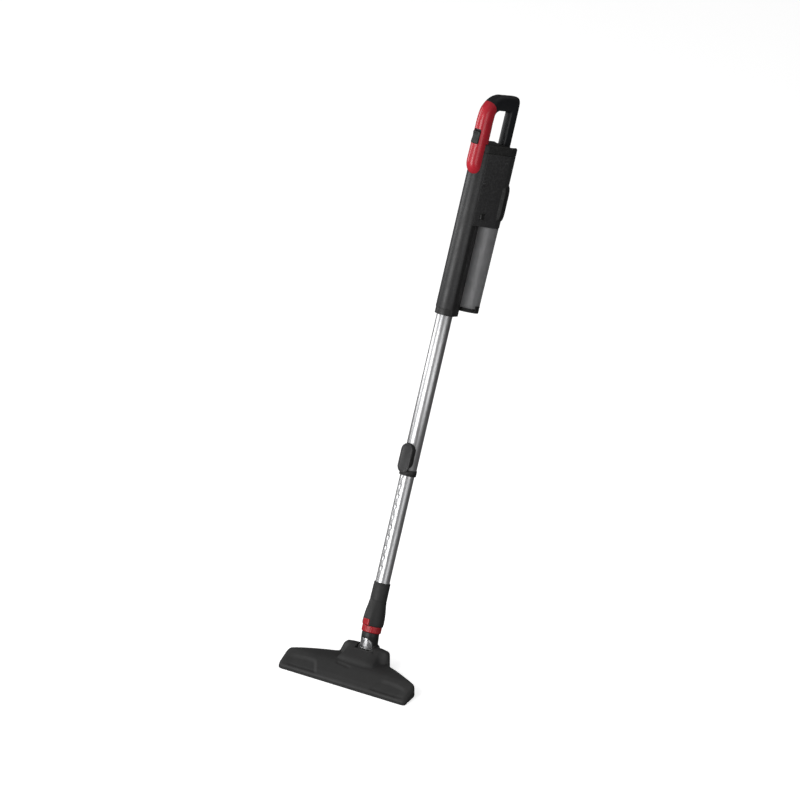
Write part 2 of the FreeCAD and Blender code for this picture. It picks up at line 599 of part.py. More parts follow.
def cup_lid():
    """The emptying door under the cup, its seal, its hinge pin and its snap hook."""
    top = "cup_low - gap"
    disk = cylinder("cup_low_radius + gap", f"{top} - lid_low", "0", "cup_axis", "lid_low")
    step = cylinder("cup_low_radius - 4", "1.6", "0", "cup_axis", top)
    knuckle = cylinder("hinge_radius", "2 * knuckle_half", "-hinge_out", "cup_axis - knuckle_half",
                       "cup_low - 4.2", Y_WAY)
    web = box(("-hinge_out", "-cup_low_radius + 2"), ("cup_axis - knuckle_half", "cup_axis + knuckle_half"),
              ("lid_low", "cup_low - 1.5"))
    hook = box(("cup_low_radius + gap + 0.1", "cup_low_radius + 2.6"), ("cup_axis - 6", "cup_axis + 6"),
               ("lid_low", "cup_low + 7"))
    root = box(("cup_low_radius - 3", "cup_low_radius + 2.6"), ("cup_axis - 6", "cup_axis + 6"),
               ("lid_low", "lid_low + 4"))
    bore = cylinder("lid_pin_radius + running_gap", "20", "-hinge_out", "cup_axis - 10", "cup_low - 4.2", Y_WAY)
    keep("cup_lid", cut(fuse(disk, step, knuckle, web, hook, root), bore), STICK)
    seal = ring("cup_low_radius - cup_wall - gap", "cup_low_radius - 4", top, "1.6", "0", "cup_axis")
    keep("lid_seal", seal, STICK)
    keep("lid_pin", cylinder("lid_pin_radius", "2 * ear_half", "-hinge_out", "cup_axis - ear_half",
                             "cup_low - 4.2", Y_WAY), STICK)


def filter_unit():
    """The slotted cage that plugs into the motor's inlet, its mesh and the pleated element in it."""
    high, wall = "collar_low", "cage_wall"
    cage = cut(cylinder("cage_radius", f"{high} - cage_low", "0", "cup_axis", "cage_low"),
               cylinder("cage_radius - cage_wall", f"{high} - cage_low", "0", "cup_axis", f"cage_low + {wall}"))
    collar = ring("collar_radius", "cage_radius - 7", "collar_low", "collar_high - collar_low", "0", "cup_axis")
    spigot = ring("12", "9.5", "collar_high - 2", "5.4", "0", "cup_axis")
    spigot_web = ring("cage_radius - 6", "9.5", "collar_high - 2", "2", "0", "cup_axis")
    windows = []
    for i in range(5):
        bar = group(box(("-cage_radius - 1", "cage_radius + 1"), ("-4.5", "4.5"),
                        ("cage_low + 12", "collar_low - 10")))
        bar.Placement = FreeCAD.Placement(FreeCAD.Vector(0, size("cup_axis"), 0),
                                          FreeCAD.Rotation(Z_WAY, 36 * i + 9))
        windows.append(bar)
    keep("filter_cage", fuse(cut(cage, *windows), collar, spigot, spigot_web), STICK)
    keep("filter_mesh", ring("cage_radius - cage_wall", "cage_radius - cage_wall - 0.6", "cage_low + 8",
                             "collar_low - cage_low - 14", "0", "cup_axis"), STICK)
    count = int(size("pleat_count"))
    star = [(f"{'pleat_outer' if i % 2 else 'pleat_inner'} * {math.cos(math.pi * i / count):.5f}",
             f"{'pleat_outer' if i % 2 else 'pleat_inner'} * {math.sin(math.pi * i / count):.5f}")
            for i in range(2 * count)]
    pleats = prism("XY_Plane", star, "cage_low + cage_wall", "collar_low - cage_low - cage_wall")
    place(pleats, y="cup_axis")
    hollow = cylinder("pleat_inner - 2", "collar_low - cage_low", "0", "cup_axis", "cage_low + 6")
    keep("filter_element", cut(pleats, hollow), STICK)


BODY_SCREWS = [(side, depth, height) for side in (-1, 1) for depth, height in ((0, 964), (44, 1010))]


def body_screw(side, depth, height):
    """One casing screw, sunk a little under the housing's flat side; returns its shank and its slot."""
    face = (f"(sqrt(pow(front_radius; 2) - pow(seam_depth; 2)) + (seam_depth + {depth})"
            " * (housing_half - front_radius + 1.15) / (flat_end + seam_depth))")
    start = f"{face} - 3.6" if side > 0 else f"-({face} - 0.4)"
    slot = f"{start} + 2.5" if side > 0 else f"{start} - 0.1"
    return (cylinder("2.6", "3.2", start, f"{depth}", f"{height}", X_WAY),
            box((slot, f"{slot} + 0.8"), (f"{depth - 0.5}", f"{depth + 0.5}"),
                (f"{height - 2}", f"{height + 2}")))


def body_screws():
    keep("body_screws", group(*[cut(*body_screw(*spot)) for spot in BODY_SCREWS]), STICK)


# --- neck -------------------------------------------------------------------------------------

def neck_cuff():
    """The cuff that clips on the lower tube and turns on the elbow's spigot."""
    seat = "lower_tube_radius + gap"
    sleeve = turned([
        ("spigot_radius + gap", "cuff_low"), ("cuff_wide_radius - 1.2", "cuff_low"),
        ("cuff_wide_radius", "cuff_low + 7"), ("cuff_wide_radius - 1.4", "cuff_low + 26"),
        ("cuff_collar_radius + 0.4", "cuff_high - 37"), ("cuff_collar_radius", "cuff_high"),
        (seat, "cuff_high"), (seat, "lower_tube_low - gap"), ("neck_bore", "lower_tube_low - gap"),
        ("neck_bore", "spigot_high + gap + 1.4"), ("spigot_radius + gap", "spigot_high + gap + 1.4")])
    fairing = prism("YZ_Plane", [
        ("-cuff_wide_radius + 5", "cuff_low"), ("-cuff_wide_radius - 2.4", "cuff_low + 1.2"),
        ("-cuff_wide_radius - 2.8", "cuff_low + 14"), ("-cuff_collar_radius - 0.2", "cuff_high - 36"),
        ("-cuff_wide_radius + 5", "cuff_high - 36")], "-9.5", "19", {"3": [2]})
    bores = fuse(cylinder("spigot_radius + gap", "spigot_high + gap + 1.4 - cuff_low", z="cuff_low"),
                 cylinder(seat, "cuff_high - lower_tube_low", z="lower_tube_low - gap"))
    pocket = block("release_half + gap", ("-release_face - 1", "-spigot_radius - 2.2"),
                   ("release_low - gap", "release_high + gap"))
    keep("neck_cuff", cut(fuse(sleeve, cut(fairing, bores)), pocket), STICK)
    button = block("release_half", ("-release_face", "-release_face + 5"), ("release_low", "release_high"))
    keep("release_button", button, STICK)
    seat_place = FreeCAD.Placement(
        FreeCAD.Vector(0, -(size("release_face") - 5.6), (size("release_low") + size("release_high")) / 2),
        FreeCAD.Rotation(Z_WAY, Y_WAY))
    keep("release_spring", spring("3", "0.35", "1.1", 2), STICK.multiply(seat_place))
    keep("swivel_ring", ring("swivel_ring_radius", "spigot_radius + gap", "swivel_ring_low",
                             "cuff_low - swivel_ring_low"), STICK)


def elbow_frame():
    """The elbow's lower barrel: from the tilt axis up to the stick's axis at the spigot's foot."""
    foot = LEAN.multVec(FreeCAD.Vector(0, 0, size("spigot_low") - 6))
    base = FreeCAD.Vector(0, size("tilt_y"), size("tilt_z"))
    way = foot.sub(base)
    return FreeCAD.Placement(base, FreeCAD.Rotation(Z_WAY, way)), way.Length


def neck_elbow():
    """The elbow: a drum on the tilt axis, a short barrel and the spigot that the cuff turns on."""
    frame, long = elbow_frame()
    sheet.set("D1", f"{long:.6f}")
    sheet.setAlias("D1", "barrel_long")
    SIZES["barrel_long"] = long
    doc.recompute()

    def barrel(radius):
        tube = group(cylinder(radius, "barrel_long"))
        tube.Placement = frame
        upper = group(sphere(radius, z="spigot_low - 6"), cylinder(radius, "6", z="spigot_low - 6"))
        upper.Placement = LEAN
        return tube, upper

    drum = cylinder("drum_radius", "2 * drum_half", "-drum_half", "tilt_y", "tilt_z", X_WAY)
    tube, upper = barrel("barrel_radius")
    neck = group(cylinder("spigot_radius", "spigot_high - spigot_low", z="spigot_low"))
    neck.Placement = LEAN
    groove = group(ring("spigot_radius + 1", "spigot_radius - 1.2", "spigot_high - 6", "2"))
    groove.Placement = LEAN
    core_tube, core_upper = barrel("neck_bore")
    core_neck = group(cylinder("neck_bore", "spigot_high", z="spigot_low - 1"))
    core_neck.Placement = LEAN
    core_drum = cylinder("drum_radius - 3", "2 * drum_half - 6", "-(drum_half - 3)", "tilt_y", "tilt_z", X_WAY)
    mouth = box(("-(drum_half - 3)", "drum_half - 3"), ("tilt_y - drum_radius - 1", "tilt_y"),
                ("tilt_z - 9", "tilt_z + 3"))
    pins = cylinder("tilt_pin_radius", "4 * drum_half", "-2 * drum_half", "tilt_y", "tilt_z", X_WAY)
    keep("neck_elbow", cut(fuse(drum, tube, upper, neck), core_tube, core_upper, core_neck, core_drum, mouth,
                           pins, groove), HEAD)
    seal = ring("spigot_radius + 0.1", "spigot_radius - 1.2", "spigot_high - 6", "2")
    keep("elbow_seal", seal, LEAN)
    stubs = [cylinder("tilt_pin_radius", "tilt_pin_out - drum_half + 3", x, "tilt_y", "tilt_z", X_WAY)
             for x in ("drum_half - 3", "-tilt_pin_out")]
    keep("tilt_pins", group(*stubs), HEAD)


def badge_plate():
    """A plain arched plate on the front of the elbow."""
    frame, _ = elbow_frame()
    shell = ring("barrel_radius + 0.9", "barrel_radius", "8", "26")
    arch = fuse(cylinder("13", "30", "0", "-30", "17", Y_WAY), block("13", ("-30", "0"), ("9", "17")))
    drum = cylinder("drum_radius", "2 * drum_half", "-drum_half", "0", "0", X_WAY)
    keep("badge_plate", cut(common(shell, arch), drum), frame)


# --- floor head -------------------------------------------------------------------------------

def head_plan(inset, low, length):
    """The head from above: a straight front, short ends and a rear that sweeps back to the hump."""
    half = [(f"head_half - 4 - {inset}", f"head_front + {inset}"), (f"head_half - {inset}", "head_front + 22"),
            (f"head_half - {inset}", f"wing_rear - {inset}"),
            (f"head_half - 13 - {inset}", f"wing_rear + 7 - {inset}"),
            (f"82 - {inset} * 0.6", f"wing_rear + 41 - {inset}"),
            (f"52 - {inset}", f"wing_rear + 68 - {inset}"), (f"48 - {inset}", f"head_rear - {inset}")]
    return prism("XY_Plane", mirrored(half), low, length,
                 {f"7 - {inset}": [1, 2, 11, 12], "24": [4, 9], f"5 - {inset}": [6, 7]})


def head_side(inset, half):
    """The wings' side outline: a rounded front that rises to a gently crowned top."""
    return prism("YZ_Plane", [
        (f"head_front + {inset}", f"head_floor - 1"), (f"head_front + {inset}", f"11 - {inset}"),
        (f"head_front + 15 + {inset}", f"wing_high - 5 - {inset}"), (f"wing_rear - 2", f"wing_high - {inset}"),
        (f"head_rear + 1", f"wing_high - 7 - {inset}"), (f"head_rear + 1", "head_floor - 1")],
        f"-({half})", f"2 * ({half})", {f"9 - {inset}": [1], f"30 - {inset}": [2], "60": [3]})


def hump(inset):
    """The raised middle over the neck's joint."""
    side = prism("YZ_Plane", [
        ("head_front + 52", "head_floor - 1"), (f"head_front + 52 + {inset}", f"wing_high - 3 - {inset}"),
        (f"head_front + 78 + {inset}", f"hump_high - 3 - {inset}"), (f"head_rear - 20", f"hump_high - {inset}"),
        (f"head_rear - {inset}", f"hump_high - 5 - {inset}"), (f"head_rear - {inset}", "head_floor - 1")],
        "-50", "100", {"22": [2], f"7 - {inset}": [4]})
    plan = prism("XY_Plane", mirrored([
        (f"44 - {inset}", f"head_front + 50 + {inset}"), (f"40 - {inset}", "head_rear - 22"),
        (f"48 - {inset}", f"head_rear - {inset}")]), "head_floor", "hump_high", {"5": [2, 3]})
    front = prism("XZ_Plane", mirrored([
        (f"50 - {inset}", "head_floor - 1"), (f"46 - {inset}", f"hump_high - 15 - {inset}"),
        (f"30 - {inset}", f"hump_high + 0.5 - {inset}")]), "head_front", "head_rear - head_front",
        {f"16 - {inset}": [2, 3], f"9 - {inset}": [1, 4]})
    return common(side, plan, front)


def wing_recess(side):
    """The shallow scoop in the front face of a wing."""
    near, far = ("58", "132") if side > 0 else ("-132", "-58")
    return box((near, far), ("head_front - 1", "head_front + 2.2"), ("9", "17"))


def head_cover():
    solid = fuse(common(head_plan("0", "head_floor", "hump_high"), head_side("0", "head_half")), hump("0"))
    hollow = fuse(common(head_plan("head_wall", "head_floor - 1", "hump_high"),
                         head_side("head_wall", "head_half - head_wall")), hump("head_wall"))
    neck_way = block("slot_half", ("slot_front", "head_rear + 1"), ("0", "hump_high + 1"))
    pin_way = cylinder("tilt_pin_radius + running_gap", "2 * tilt_pin_out + 2", "-tilt_pin_out - 1", "tilt_y",
                       "tilt_z", X_WAY)
    reach, rise = ("slot_front - 4", "head_rear - 1"), ("tilt_z - drum_radius", "hump_high")
    arms = [common(box(span, reach, rise), hump("0"))
            for span in (("slot_half", "slot_half + 3"), ("-slot_half - 3", "-slot_half"))]
    front_wall = common(block("slot_half + 3", ("slot_front - 3", "slot_front"), ("24", "hump_high")),
                        hump("0"))
    walls = fuse(cut(solid, hollow), *arms, front_wall)
    keep("head_cover", cut(walls, neck_way, pin_way, wing_recess(1), wing_recess(-1)), HEAD)


def sole_plate():
    """The bottom of the head: the suction mouth, the glide rib under the origin and the wheel wells."""
    plate = common(head_plan("(head_wall + 0.8)", "1.4", "sole_high - 1.4"),
                   block("head_half", ("head_front", "head_rear"), ("1.4", "sole_high")))
    rib = block("100", ("-5", "5"), ("0", "3"))
    mouth = block("mouth_half", ("mouth_front", "mouth_rear"), ("-1", "sole_high + 1"))
    neck_way = block("slot_half", ("slot_front - 3", "head_rear + 1"), ("-1", "sole_high + 1"))
    wells = [box((f"{x} - wheel_wide / 2 - 1.4", f"{x} + wheel_wide / 2 + 1.4"),
                 ("wheel_y - wheel_radius - 1.4", "wheel_y + wheel_radius + 1.4"), ("-1", "3 * wheel_radius"))
             for x in ("wheel_x", "-wheel_x")]
    bosses = [box((f"{x} - axle_long / 2", f"{x} + axle_long / 2"), ("wheel_y - 4", "wheel_y + 4"),
                  ("3", "wheel_radius + 4")) for x in ("wheel_x", "-wheel_x")]
    axle_ways = [cylinder("axle_radius", "axle_long", f"{x} - axle_long / 2", "wheel_y", "wheel_radius", X_WAY)
                 for x in ("wheel_x", "-wheel_x")]
    grooves = [block("mouth_half + 4", (a, b), ("-1", "5")) for a, b in
               (("mouth_front - 6.2", "mouth_front - 2.2"), ("mouth_rear + 2.2", "mouth_rear + 6.2"))]
    keep("sole_plate", cut(fuse(plate, rib, *bosses), mouth, neck_way, *wells, *axle_ways, *grooves,
                           *[head_screw(x, y) for x, y in HEAD_SCREWS]), HEAD)


def brushes():
    """Two bristle strips, each a bar with a row of tufts that just clears the floor."""
    for node, low in (("brush_front", "mouth_front - 6.2"), ("brush_rear", "mouth_rear + 2.2")):
        bar = block("mouth_half + 4", (low, f"{low} + 4"), ("3", "5"))
        tufts = [cylinder("bristle_radius", "3", f"({i} - (bristle_count - 1) / 2) * bristle_pitch",
                          f"{low} + 2", "0.4") for i in range(int(size("bristle_count")))]
        keep(node, fuse(bar, *tufts), HEAD)


def head_fittings():
    """What the head holds: lip, lint strips, clamp, duct, wheels, axles and screws."""
    lip = block("head_half - 9", ("head_front + 0.2", "head_front + head_wall"), ("0.8", "head_floor"))
    keep("front_lip", lip, HEAD)
    strips = [box(span, ("6", "10"), ("0.5", "1.4")) for span in (("30", "112"), ("-112", "-30"))]
    keep("lint_strips", group(*strips), HEAD)
    rear, top = "head_rear - head_wall - 0.2", "tilt_z - drum_radius - gap"
    bar = fuse(block("tilt_pin_out - 1", ("tilt_y - 8", rear), ("sole_high", top)),
               block("slot_half - gap", ("tilt_y - 8", rear), ("head_floor", top)))
    posts = [box(span, ("tilt_y - 8", rear), ("sole_high", "tilt_z + 6.5"))
             for span in (("slot_half + 4", "tilt_pin_out - 1"), ("-tilt_pin_out + 1", "-slot_half - 4"))]
    pin_way = cylinder("tilt_pin_radius + running_gap", "2 * tilt_pin_out + 4", "-tilt_pin_out - 2", "tilt_y",
                       "tilt_z", X_WAY)
    keep("hinge_clamp", cut(fuse(bar, *posts), pin_way), HEAD)
    duct = cut(block("18", ("mouth_rear", "slot_front + 1"), ("sole_high", "23")),
               block("16", ("mouth_rear - 1", "slot_front + 2"), ("sole_high + 2", "21")))
    keep("inner_duct", duct, HEAD)
    for node, x in (("wheel_left", "-wheel_x"), ("wheel_right", "wheel_x")):
        wheel = cylinder("wheel_radius", "wheel_wide", f"{x} - wheel_wide / 2", "wheel_y", "wheel_radius",
                         X_WAY)
        bore = cylinder("axle_radius + running_gap", "20", f"{x} - 10", "wheel_y", "wheel_radius", X_WAY)
        keep(node, cut(wheel, bore), HEAD)
    axles = [cylinder("axle_radius", "axle_long", f"{x} - axle_long / 2", "wheel_y", "wheel_radius", X_WAY)
             for x in ("-wheel_x", "wheel_x")]
    keep("wheel_axles", group(*axles), HEAD)


HEAD_SCREWS = [(side * x, y) for side in (-1, 1) for x, y in ((131, -38), (100, 8), (40, 24))]


def head_screw(x, y):
    return cylinder("3", "sole_high - 2", f"{x}", f"{y}", "1.7")


def head_screws():
    """The sole's screws, each with a slot in its head."""
    screws = [cut(head_screw(x, y), box((f"{x - 2}", f"{x + 2}"), (f"{y - 0.5}", f"{y + 0.5}"), ("1.6", "2.6")))
              for x, y in HEAD_SCREWS]
    keep("head_screws", group(*screws), HEAD)


for build in (upper_tube, tube_end_ring, button_base, tube_button, lock_pin, lock_spring, lower_tube,
              guide_sleeve, front_shell, rear_spine, motor_housing, top_band, tube_socket, intake_duct,
              exhaust_grille, handle_pieces, cup_latch, motor, battery, charge_socket, dust_cup, cup_lid,
              filter_unit, body_screws, neck_cuff, neck_elbow, badge_plate, head_cover, sole_plate, brushes,
              head_fittings, head_screws):
    build()
    doc.recompute()

bad = [f"{o.Label}: {o.State}" for o in doc.Objects if {"Invalid", "Error"} & set(o.State)]
bad += [f"{p.Label}: bad shape" for p in PIECES
        if p.Shape.isNull() or not p.Shape.isValid() or not p.Shape.Solids]
if bad:
    raise SystemExit("failed: " + "; ".join(bad))

os.makedirs("parts", exist_ok=True)
for piece in PIECES:
    piece.Shape.exportStep(f"parts/{piece.Label}.step")
    print(f"{piece.Label:16s} {piece.Shape.Volume / 1000:9.2f} cm3  {len(piece.Shape.Solids)} solid(s)")
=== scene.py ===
"""The looks of a cordless stick vacuum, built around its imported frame.

Sizes in the classes are millimetres in the frame they name: the stick frame has its Z along the
telescopic tube, X across it and Y towards its rear, and the head frame is the row frame itself.
"""
from __future__ import annotations

import json
import logging
import math
from dataclasses import dataclass, field
from enum import Enum
from typing import Iterable, Sequence

import bmesh
import bpy
from mathutils import Matrix, Vector


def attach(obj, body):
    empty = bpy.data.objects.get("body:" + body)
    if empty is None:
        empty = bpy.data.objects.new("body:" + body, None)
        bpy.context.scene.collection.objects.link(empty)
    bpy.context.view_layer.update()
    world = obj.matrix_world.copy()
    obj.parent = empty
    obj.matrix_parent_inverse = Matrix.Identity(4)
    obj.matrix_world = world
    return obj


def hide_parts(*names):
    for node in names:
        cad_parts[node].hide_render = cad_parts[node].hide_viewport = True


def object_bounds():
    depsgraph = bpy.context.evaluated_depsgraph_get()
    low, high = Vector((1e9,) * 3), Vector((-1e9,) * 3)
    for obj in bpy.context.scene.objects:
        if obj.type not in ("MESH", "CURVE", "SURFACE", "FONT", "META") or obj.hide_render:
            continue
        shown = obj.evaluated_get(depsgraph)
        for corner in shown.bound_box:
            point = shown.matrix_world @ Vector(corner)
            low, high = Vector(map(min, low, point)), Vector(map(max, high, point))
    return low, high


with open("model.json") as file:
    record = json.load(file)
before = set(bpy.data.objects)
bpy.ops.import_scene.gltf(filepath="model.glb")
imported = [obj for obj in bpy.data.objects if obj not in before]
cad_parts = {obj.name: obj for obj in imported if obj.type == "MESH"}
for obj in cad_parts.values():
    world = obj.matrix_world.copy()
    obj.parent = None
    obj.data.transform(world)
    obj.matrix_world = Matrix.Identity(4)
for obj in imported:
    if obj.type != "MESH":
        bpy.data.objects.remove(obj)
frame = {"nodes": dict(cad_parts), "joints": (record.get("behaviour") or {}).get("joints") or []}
CAD_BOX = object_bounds()

LOG = logging.getLogger("stick_vacuum")
MM = 0.001

Pair = tuple[float, float]


# --- the frame's own places -------------------------------------------------------------------

class Body(str, Enum):
    """The rigid bodies that pieces ride on."""

    MAIN = "main_body"
    SWITCH = "switch"
    LATCH = "latch"
    CUP = "cup"
    LID = "lid"
    SLIDER = "slider"
    INNER_TUBE = "inner_tube"
    CUFF = "cuff"
    RELEASE = "release"
    NECK = "neck"
    HEAD = "head"
    WHEEL_LEFT = "wheel_left"
    WHEEL_RIGHT = "wheel_right"


def joint(name: str) -> dict:
    """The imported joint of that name."""
    return next(j for j in frame["joints"] if j["name"] == name)


def stick_matrix() -> Matrix:
    """The stick's frame: its origin where the neck turns, Z up the tube and Y to its rear."""
    up = Vector(joint("tube_telescope")["axis"]).normalized()
    rear = -Vector(joint("pin_lift")["axis"]).normalized()
    across = rear.cross(up).normalized()
    turn = Matrix((across, up.cross(across), up)).transposed()
    return Matrix.Translation(Vector(joint("neck_swivel")["pos_m"])) @ turn.to_4x4()


def elbow_matrix(foot: float) -> Matrix:
    """The elbow's frame: on the tilt axis, Z towards a point foot millimetres up the stick."""
    base = Vector(joint("neck_tilt")["pos_m"])
    up = (STICK @ Vector((0, 0, foot * MM)) - base).normalized()
    across = Vector((1, 0, 0))
    turn = Matrix((across, up.cross(across), up)).transposed()
    return Matrix.Translation(base) @ turn.to_4x4()


STICK = stick_matrix()
ROW = Matrix.Identity(4)


# --- mesh tools -------------------------------------------------------------------------------

def sample(stations: Sequence[Sequence[float]], at: float) -> list[float]:
    """One row of a smooth run through stations, at one place, with no overshoot."""
    last = len(stations) - 1
    i = max(0, min(last - 1, sum(1 for s in stations[1:] if s[0] < at)))
    low, high = stations[i], stations[i + 1]
    span = high[0] - low[0]
    share = 0.0 if span == 0 else max(0.0, min(1.0, (at - low[0]) / span))

    def slope(k: int, column: int) -> float:
        if k in (0, last):
            return 0.0 if last > 1 else (stations[1][column] - stations[0][column]) / max(span,
                                                                                          1e-9)
        before = (stations[k][column] - stations[k - 1][column]) / (stations[k][0]
                                                                    - stations[k - 1][0])
        after = (stations[k + 1][column] - stations[k][column]) / (stations[k + 1][0]
                                                                   - stations[k][0])
        return 0.0 if before * after <= 0 else 2 * before * after / (before + after)

    row = [at]
    s2, s3 = share ** 2, share ** 3
    for column in range(1, len(low)):
        start, end = slope(i, column) * span, slope(i + 1, column) * span
        row.append((2 * s3 - 3 * s2 + 1) * low[column] + (s3 - 2 * s2 + share) * start
                   + (3 * s2 - 2 * s3) * high[column] + (s3 - s2) * end)
    return row


def rounded(points: Sequence[Pair], radii: Sequence[float], steps: int = 7) -> list[Pair]:
    """A closed outline with its corners rounded to arcs.

    Args:
        points: the corners in order.
        radii: one radius for each corner, 0 for a sharp one.
        steps: the number of runs in each arc.

    Returns:
        The outline's points.
    """
    loop: list[Pair] = []
    for i, (corner, radius) in enumerate(zip(points, radii)):
        here = Vector(corner)
        back = (Vector(points[i - 1]) - here).normalized()
        ahead = (Vector(points[(i + 1) % len(points)]) - here).normalized()
        if radius <= 0:
            loop.append(corner)
            continue
        half = back.angle(ahead) / 2
        centre = here + (back + ahead).normalized() * radius / math.sin(half)
        start = here + back * radius / math.tan(half) - centre
        end = here + ahead * radius / math.tan(half) - centre
        turn = start.angle_signed(end)
        for step in range(steps + 1):
            spin = Matrix.Rotation(-turn * step / steps, 2)
            loop.append(tuple(centre + spin @ start))
    return loop


def circle(radius: float, steps: int, centre: Pair = (0.0, 0.0)) -> list[Pair]:
    """Points evenly round a circle."""
    turns = [2 * math.pi * i / steps for i in range(steps)]
    return [(centre[0] + radius * math.cos(a), centre[1] + radius * math.sin(a)) for a in turns]


def smooth(share: float) -> float:
    """A share from 0 to 1 that eases in and out."""
    share = max(0.0, min(1.0, share))
    return share * share * (3 - 2 * share)


class Mesh:
    """A mesh under construction, in millimetres of its own frame."""

    def __init__(self, name: str, matrix: Matrix = STICK) -> None:
        """Start an empty mesh.

        Args:
            name: the piece's name.
            matrix: the frame that its millimetres are measured in.
        """
        self.name = name
        self.matrix = matrix
        self.bm = bmesh.new()

    def ring(self, points: Iterable[Sequence[float]]) -> list[bmesh.types.BMVert]:
        """Add a loop of points and return its vertices."""
        return [self.bm.verts.new(Vector(p) * MM) for p in points]

    def skin(self, rings: Sequence[Sequence[Sequence[float]]], caps: bool = True, wrap: bool = True,
             closed: bool = False, material: int = 0) -> None:
        """Join rings of equal length with quads.

        Args:
            rings: loops of points, in order.
            caps: whether the first and last loops are filled.
            wrap: whether each loop closes on itself.
            closed: whether the last loop joins the first, as in a hoop.
            material: the index of the skin's material.
        """
        loops = [self.ring(r) for r in rings]
        pairs = list(zip(loops, loops[1:])) + ([(loops[-1], loops[0])] if closed else [])
        for low, high in pairs:
            count = len(low)
            for i in range(count if wrap else count - 1):
                j = (i + 1) % count
                self.face((low[i], low[j], high[j], high[i]), material)
        if caps and not closed:
            self.face(list(reversed(loops[0])), material)
            self.face(loops[-1], material)

    def face(self, verts: Sequence[bmesh.types.BMVert], material: int = 0) -> None:
        """Add one face, leaving out any that has shrunk to nothing."""
        distinct = list(dict.fromkeys(verts))
        if len(distinct) > 2:
            self.bm.faces.new(distinct).material_index = material

    def lathe(self, profile: Sequence[Pair], centre: Pair = (0, 0), steps: int = 96,
              hoop: bool = True) -> None:
        """Turn a profile of (radius, height) about a line along Z; a hoop's profile is closed."""
        rings = []
        for radius, height in profile:
            rings.append([(x, y, height) for x, y in circle(radius, steps, centre)])
        self.skin(rings, caps=not hoop, closed=hoop)

    def prism(self, outline: Sequence[Pair], low: float, high: float, axis: str = "z") -> None:
        """Stand an outline up between two heights along an axis."""
        order = {"z": lambda a, b, c: (a, b, c), "x": lambda a, b, c: (c, a, b), "y": lambda a, b,
                 c: (a, c, b)}[axis]
        self.skin([[order(a, b, c) for a, b in outline] for c in (low, high)])

    def finish(self) -> bpy.types.Object:
        """Close the mesh up and put it in the scene as an object."""
        bmesh.ops.remove_doubles(self.bm, verts=self.bm.verts, dist=1e-6)
        bmesh.ops.recalc_face_normals(self.bm, faces=self.bm.faces)
        turn = self.matrix.to_3x3().to_4x4()
        self.bm.transform(Matrix.Translation(self.matrix.translation) @ turn)
        data = bpy.data.meshes.new(self.name)
        self.bm.to_mesh(data)
        self.bm.free()
        thing = bpy.data.objects.new(self.name, data)
        bpy.context.scene.collection.objects.link(thing)
        return thing


def apply_modifiers(thing: bpy.types.Object) -> None:
    """Turn a piece's modifiers into its mesh."""
    bpy.context.view_layer.update()
    graph = bpy.context.evaluated_depsgraph_get()
    data = bpy.data.meshes.new_from_object(thing.evaluated_get(graph))
    thing.modifiers.clear()
    thing.data = data


def soften(thing: bpy.types.Object, width: float, angle: float = 32,
           segments: int = 3) -> bpy.types.Object:
    """Round a piece's hard edges by width millimetres and smooth its shading."""
    bevel = thing.modifiers.new("edges", "BEVEL")
    bevel.width, bevel.segments = width * MM, segments
    bevel.limit_method, bevel.angle_limit = "ANGLE", math.radians(angle)
    bevel.use_clamp_overlap, bevel.miter_outer = True, "MITER_ARC"
    apply_modifiers(thing)
    return shade(thing)


def shade(thing: bpy.types.Object, angle: float = 40) -> bpy.types.Object:
    """Shade a piece smoothly, with sharp edges kept where faces turn by more than an angle."""
    thing.data.polygons.foreach_set("use_smooth", [True] * len(thing.data.polygons))
    thing.data.set_sharp_from_angle(angle=math.radians(angle))
    return thing


def carve(thing: bpy.types.Object, *cutters: bpy.types.Object,
          operation: str = "DIFFERENCE") -> None:
    """Cut other meshes out of a piece, or fuse them with it, and throw them away."""
    for cutter in cutters:
        cutting = thing.modifiers.new("cut", "BOOLEAN")
        cutting.operation, cutting.solver, cutting.object = operation, "EXACT", cutter
        apply_modifiers(thing)
        bpy.data.objects.remove(cutter)


def block(matrix: Matrix, x: Pair, y: Pair, z: Pair, radius: float = 0.0,
          axis: str = "z") -> bpy.types.Object:
    """A cutter with rounded edges along one axis, between two values on each."""
    spans = {"x": (y, z, x), "y": (x, z, y), "z": (x, y, z)}[axis]
    (a0, a1), (b0, b1), (c0, c1) = spans
    mesh = Mesh("cutter", matrix)
    mesh.prism(rounded([(a0, b0), (a1, b0), (a1, b1), (a0, b1)], [radius] * 4), c0, c1, axis)
    return mesh.finish()


# --- shader tools -----------------------------------------------------------------------------

Socket = bpy.types.NodeSocket


def node(tree: bpy.types.NodeTree, kind: str, inputs: dict | None = None,
         **settings: object) -> bpy.types.Node:
    """Add a shader node.

    Args:
        tree: the tree it goes in.
        kind: the node's type without its ShaderNode prefix.
        inputs: for each input's name or number, a value to set or a socket to link.
        settings: properties of the node itself.

    Returns:
        The node.
    """
    made = tree.nodes.new("ShaderNode" + kind)
    for name, value in settings.items():
        setattr(made, name, value)
    for key, value in (inputs or {}).items():
        if isinstance(value, bpy.types.NodeSocket):
            tree.links.new(value, made.inputs[key])
        else:
            made.inputs[key].default_value = value
    return made


def ramp(tree: bpy.types.NodeTree, value: Socket, low: float, high: float, to_low: float = 0.0,
         to_high: float = 1.0) -> Socket:
    """Stretch a value smoothly from one range to another and clamp it."""
    return node(tree, "MapRange", {"Value": value, "From Min": low, "From Max": high,
                                   "To Min": to_low,
                                   "To Max": to_high},
                                   interpolation_type="SMOOTHSTEP").outputs["Result"]


def times(tree: bpy.types.NodeTree, one: Socket, other: Socket | float,
          how: str = "MULTIPLY") -> Socket:
    """Combine two values with a sum, product or the like."""
    return node(tree, "Math", {0: one, 1: other}, operation=how).outputs[0]


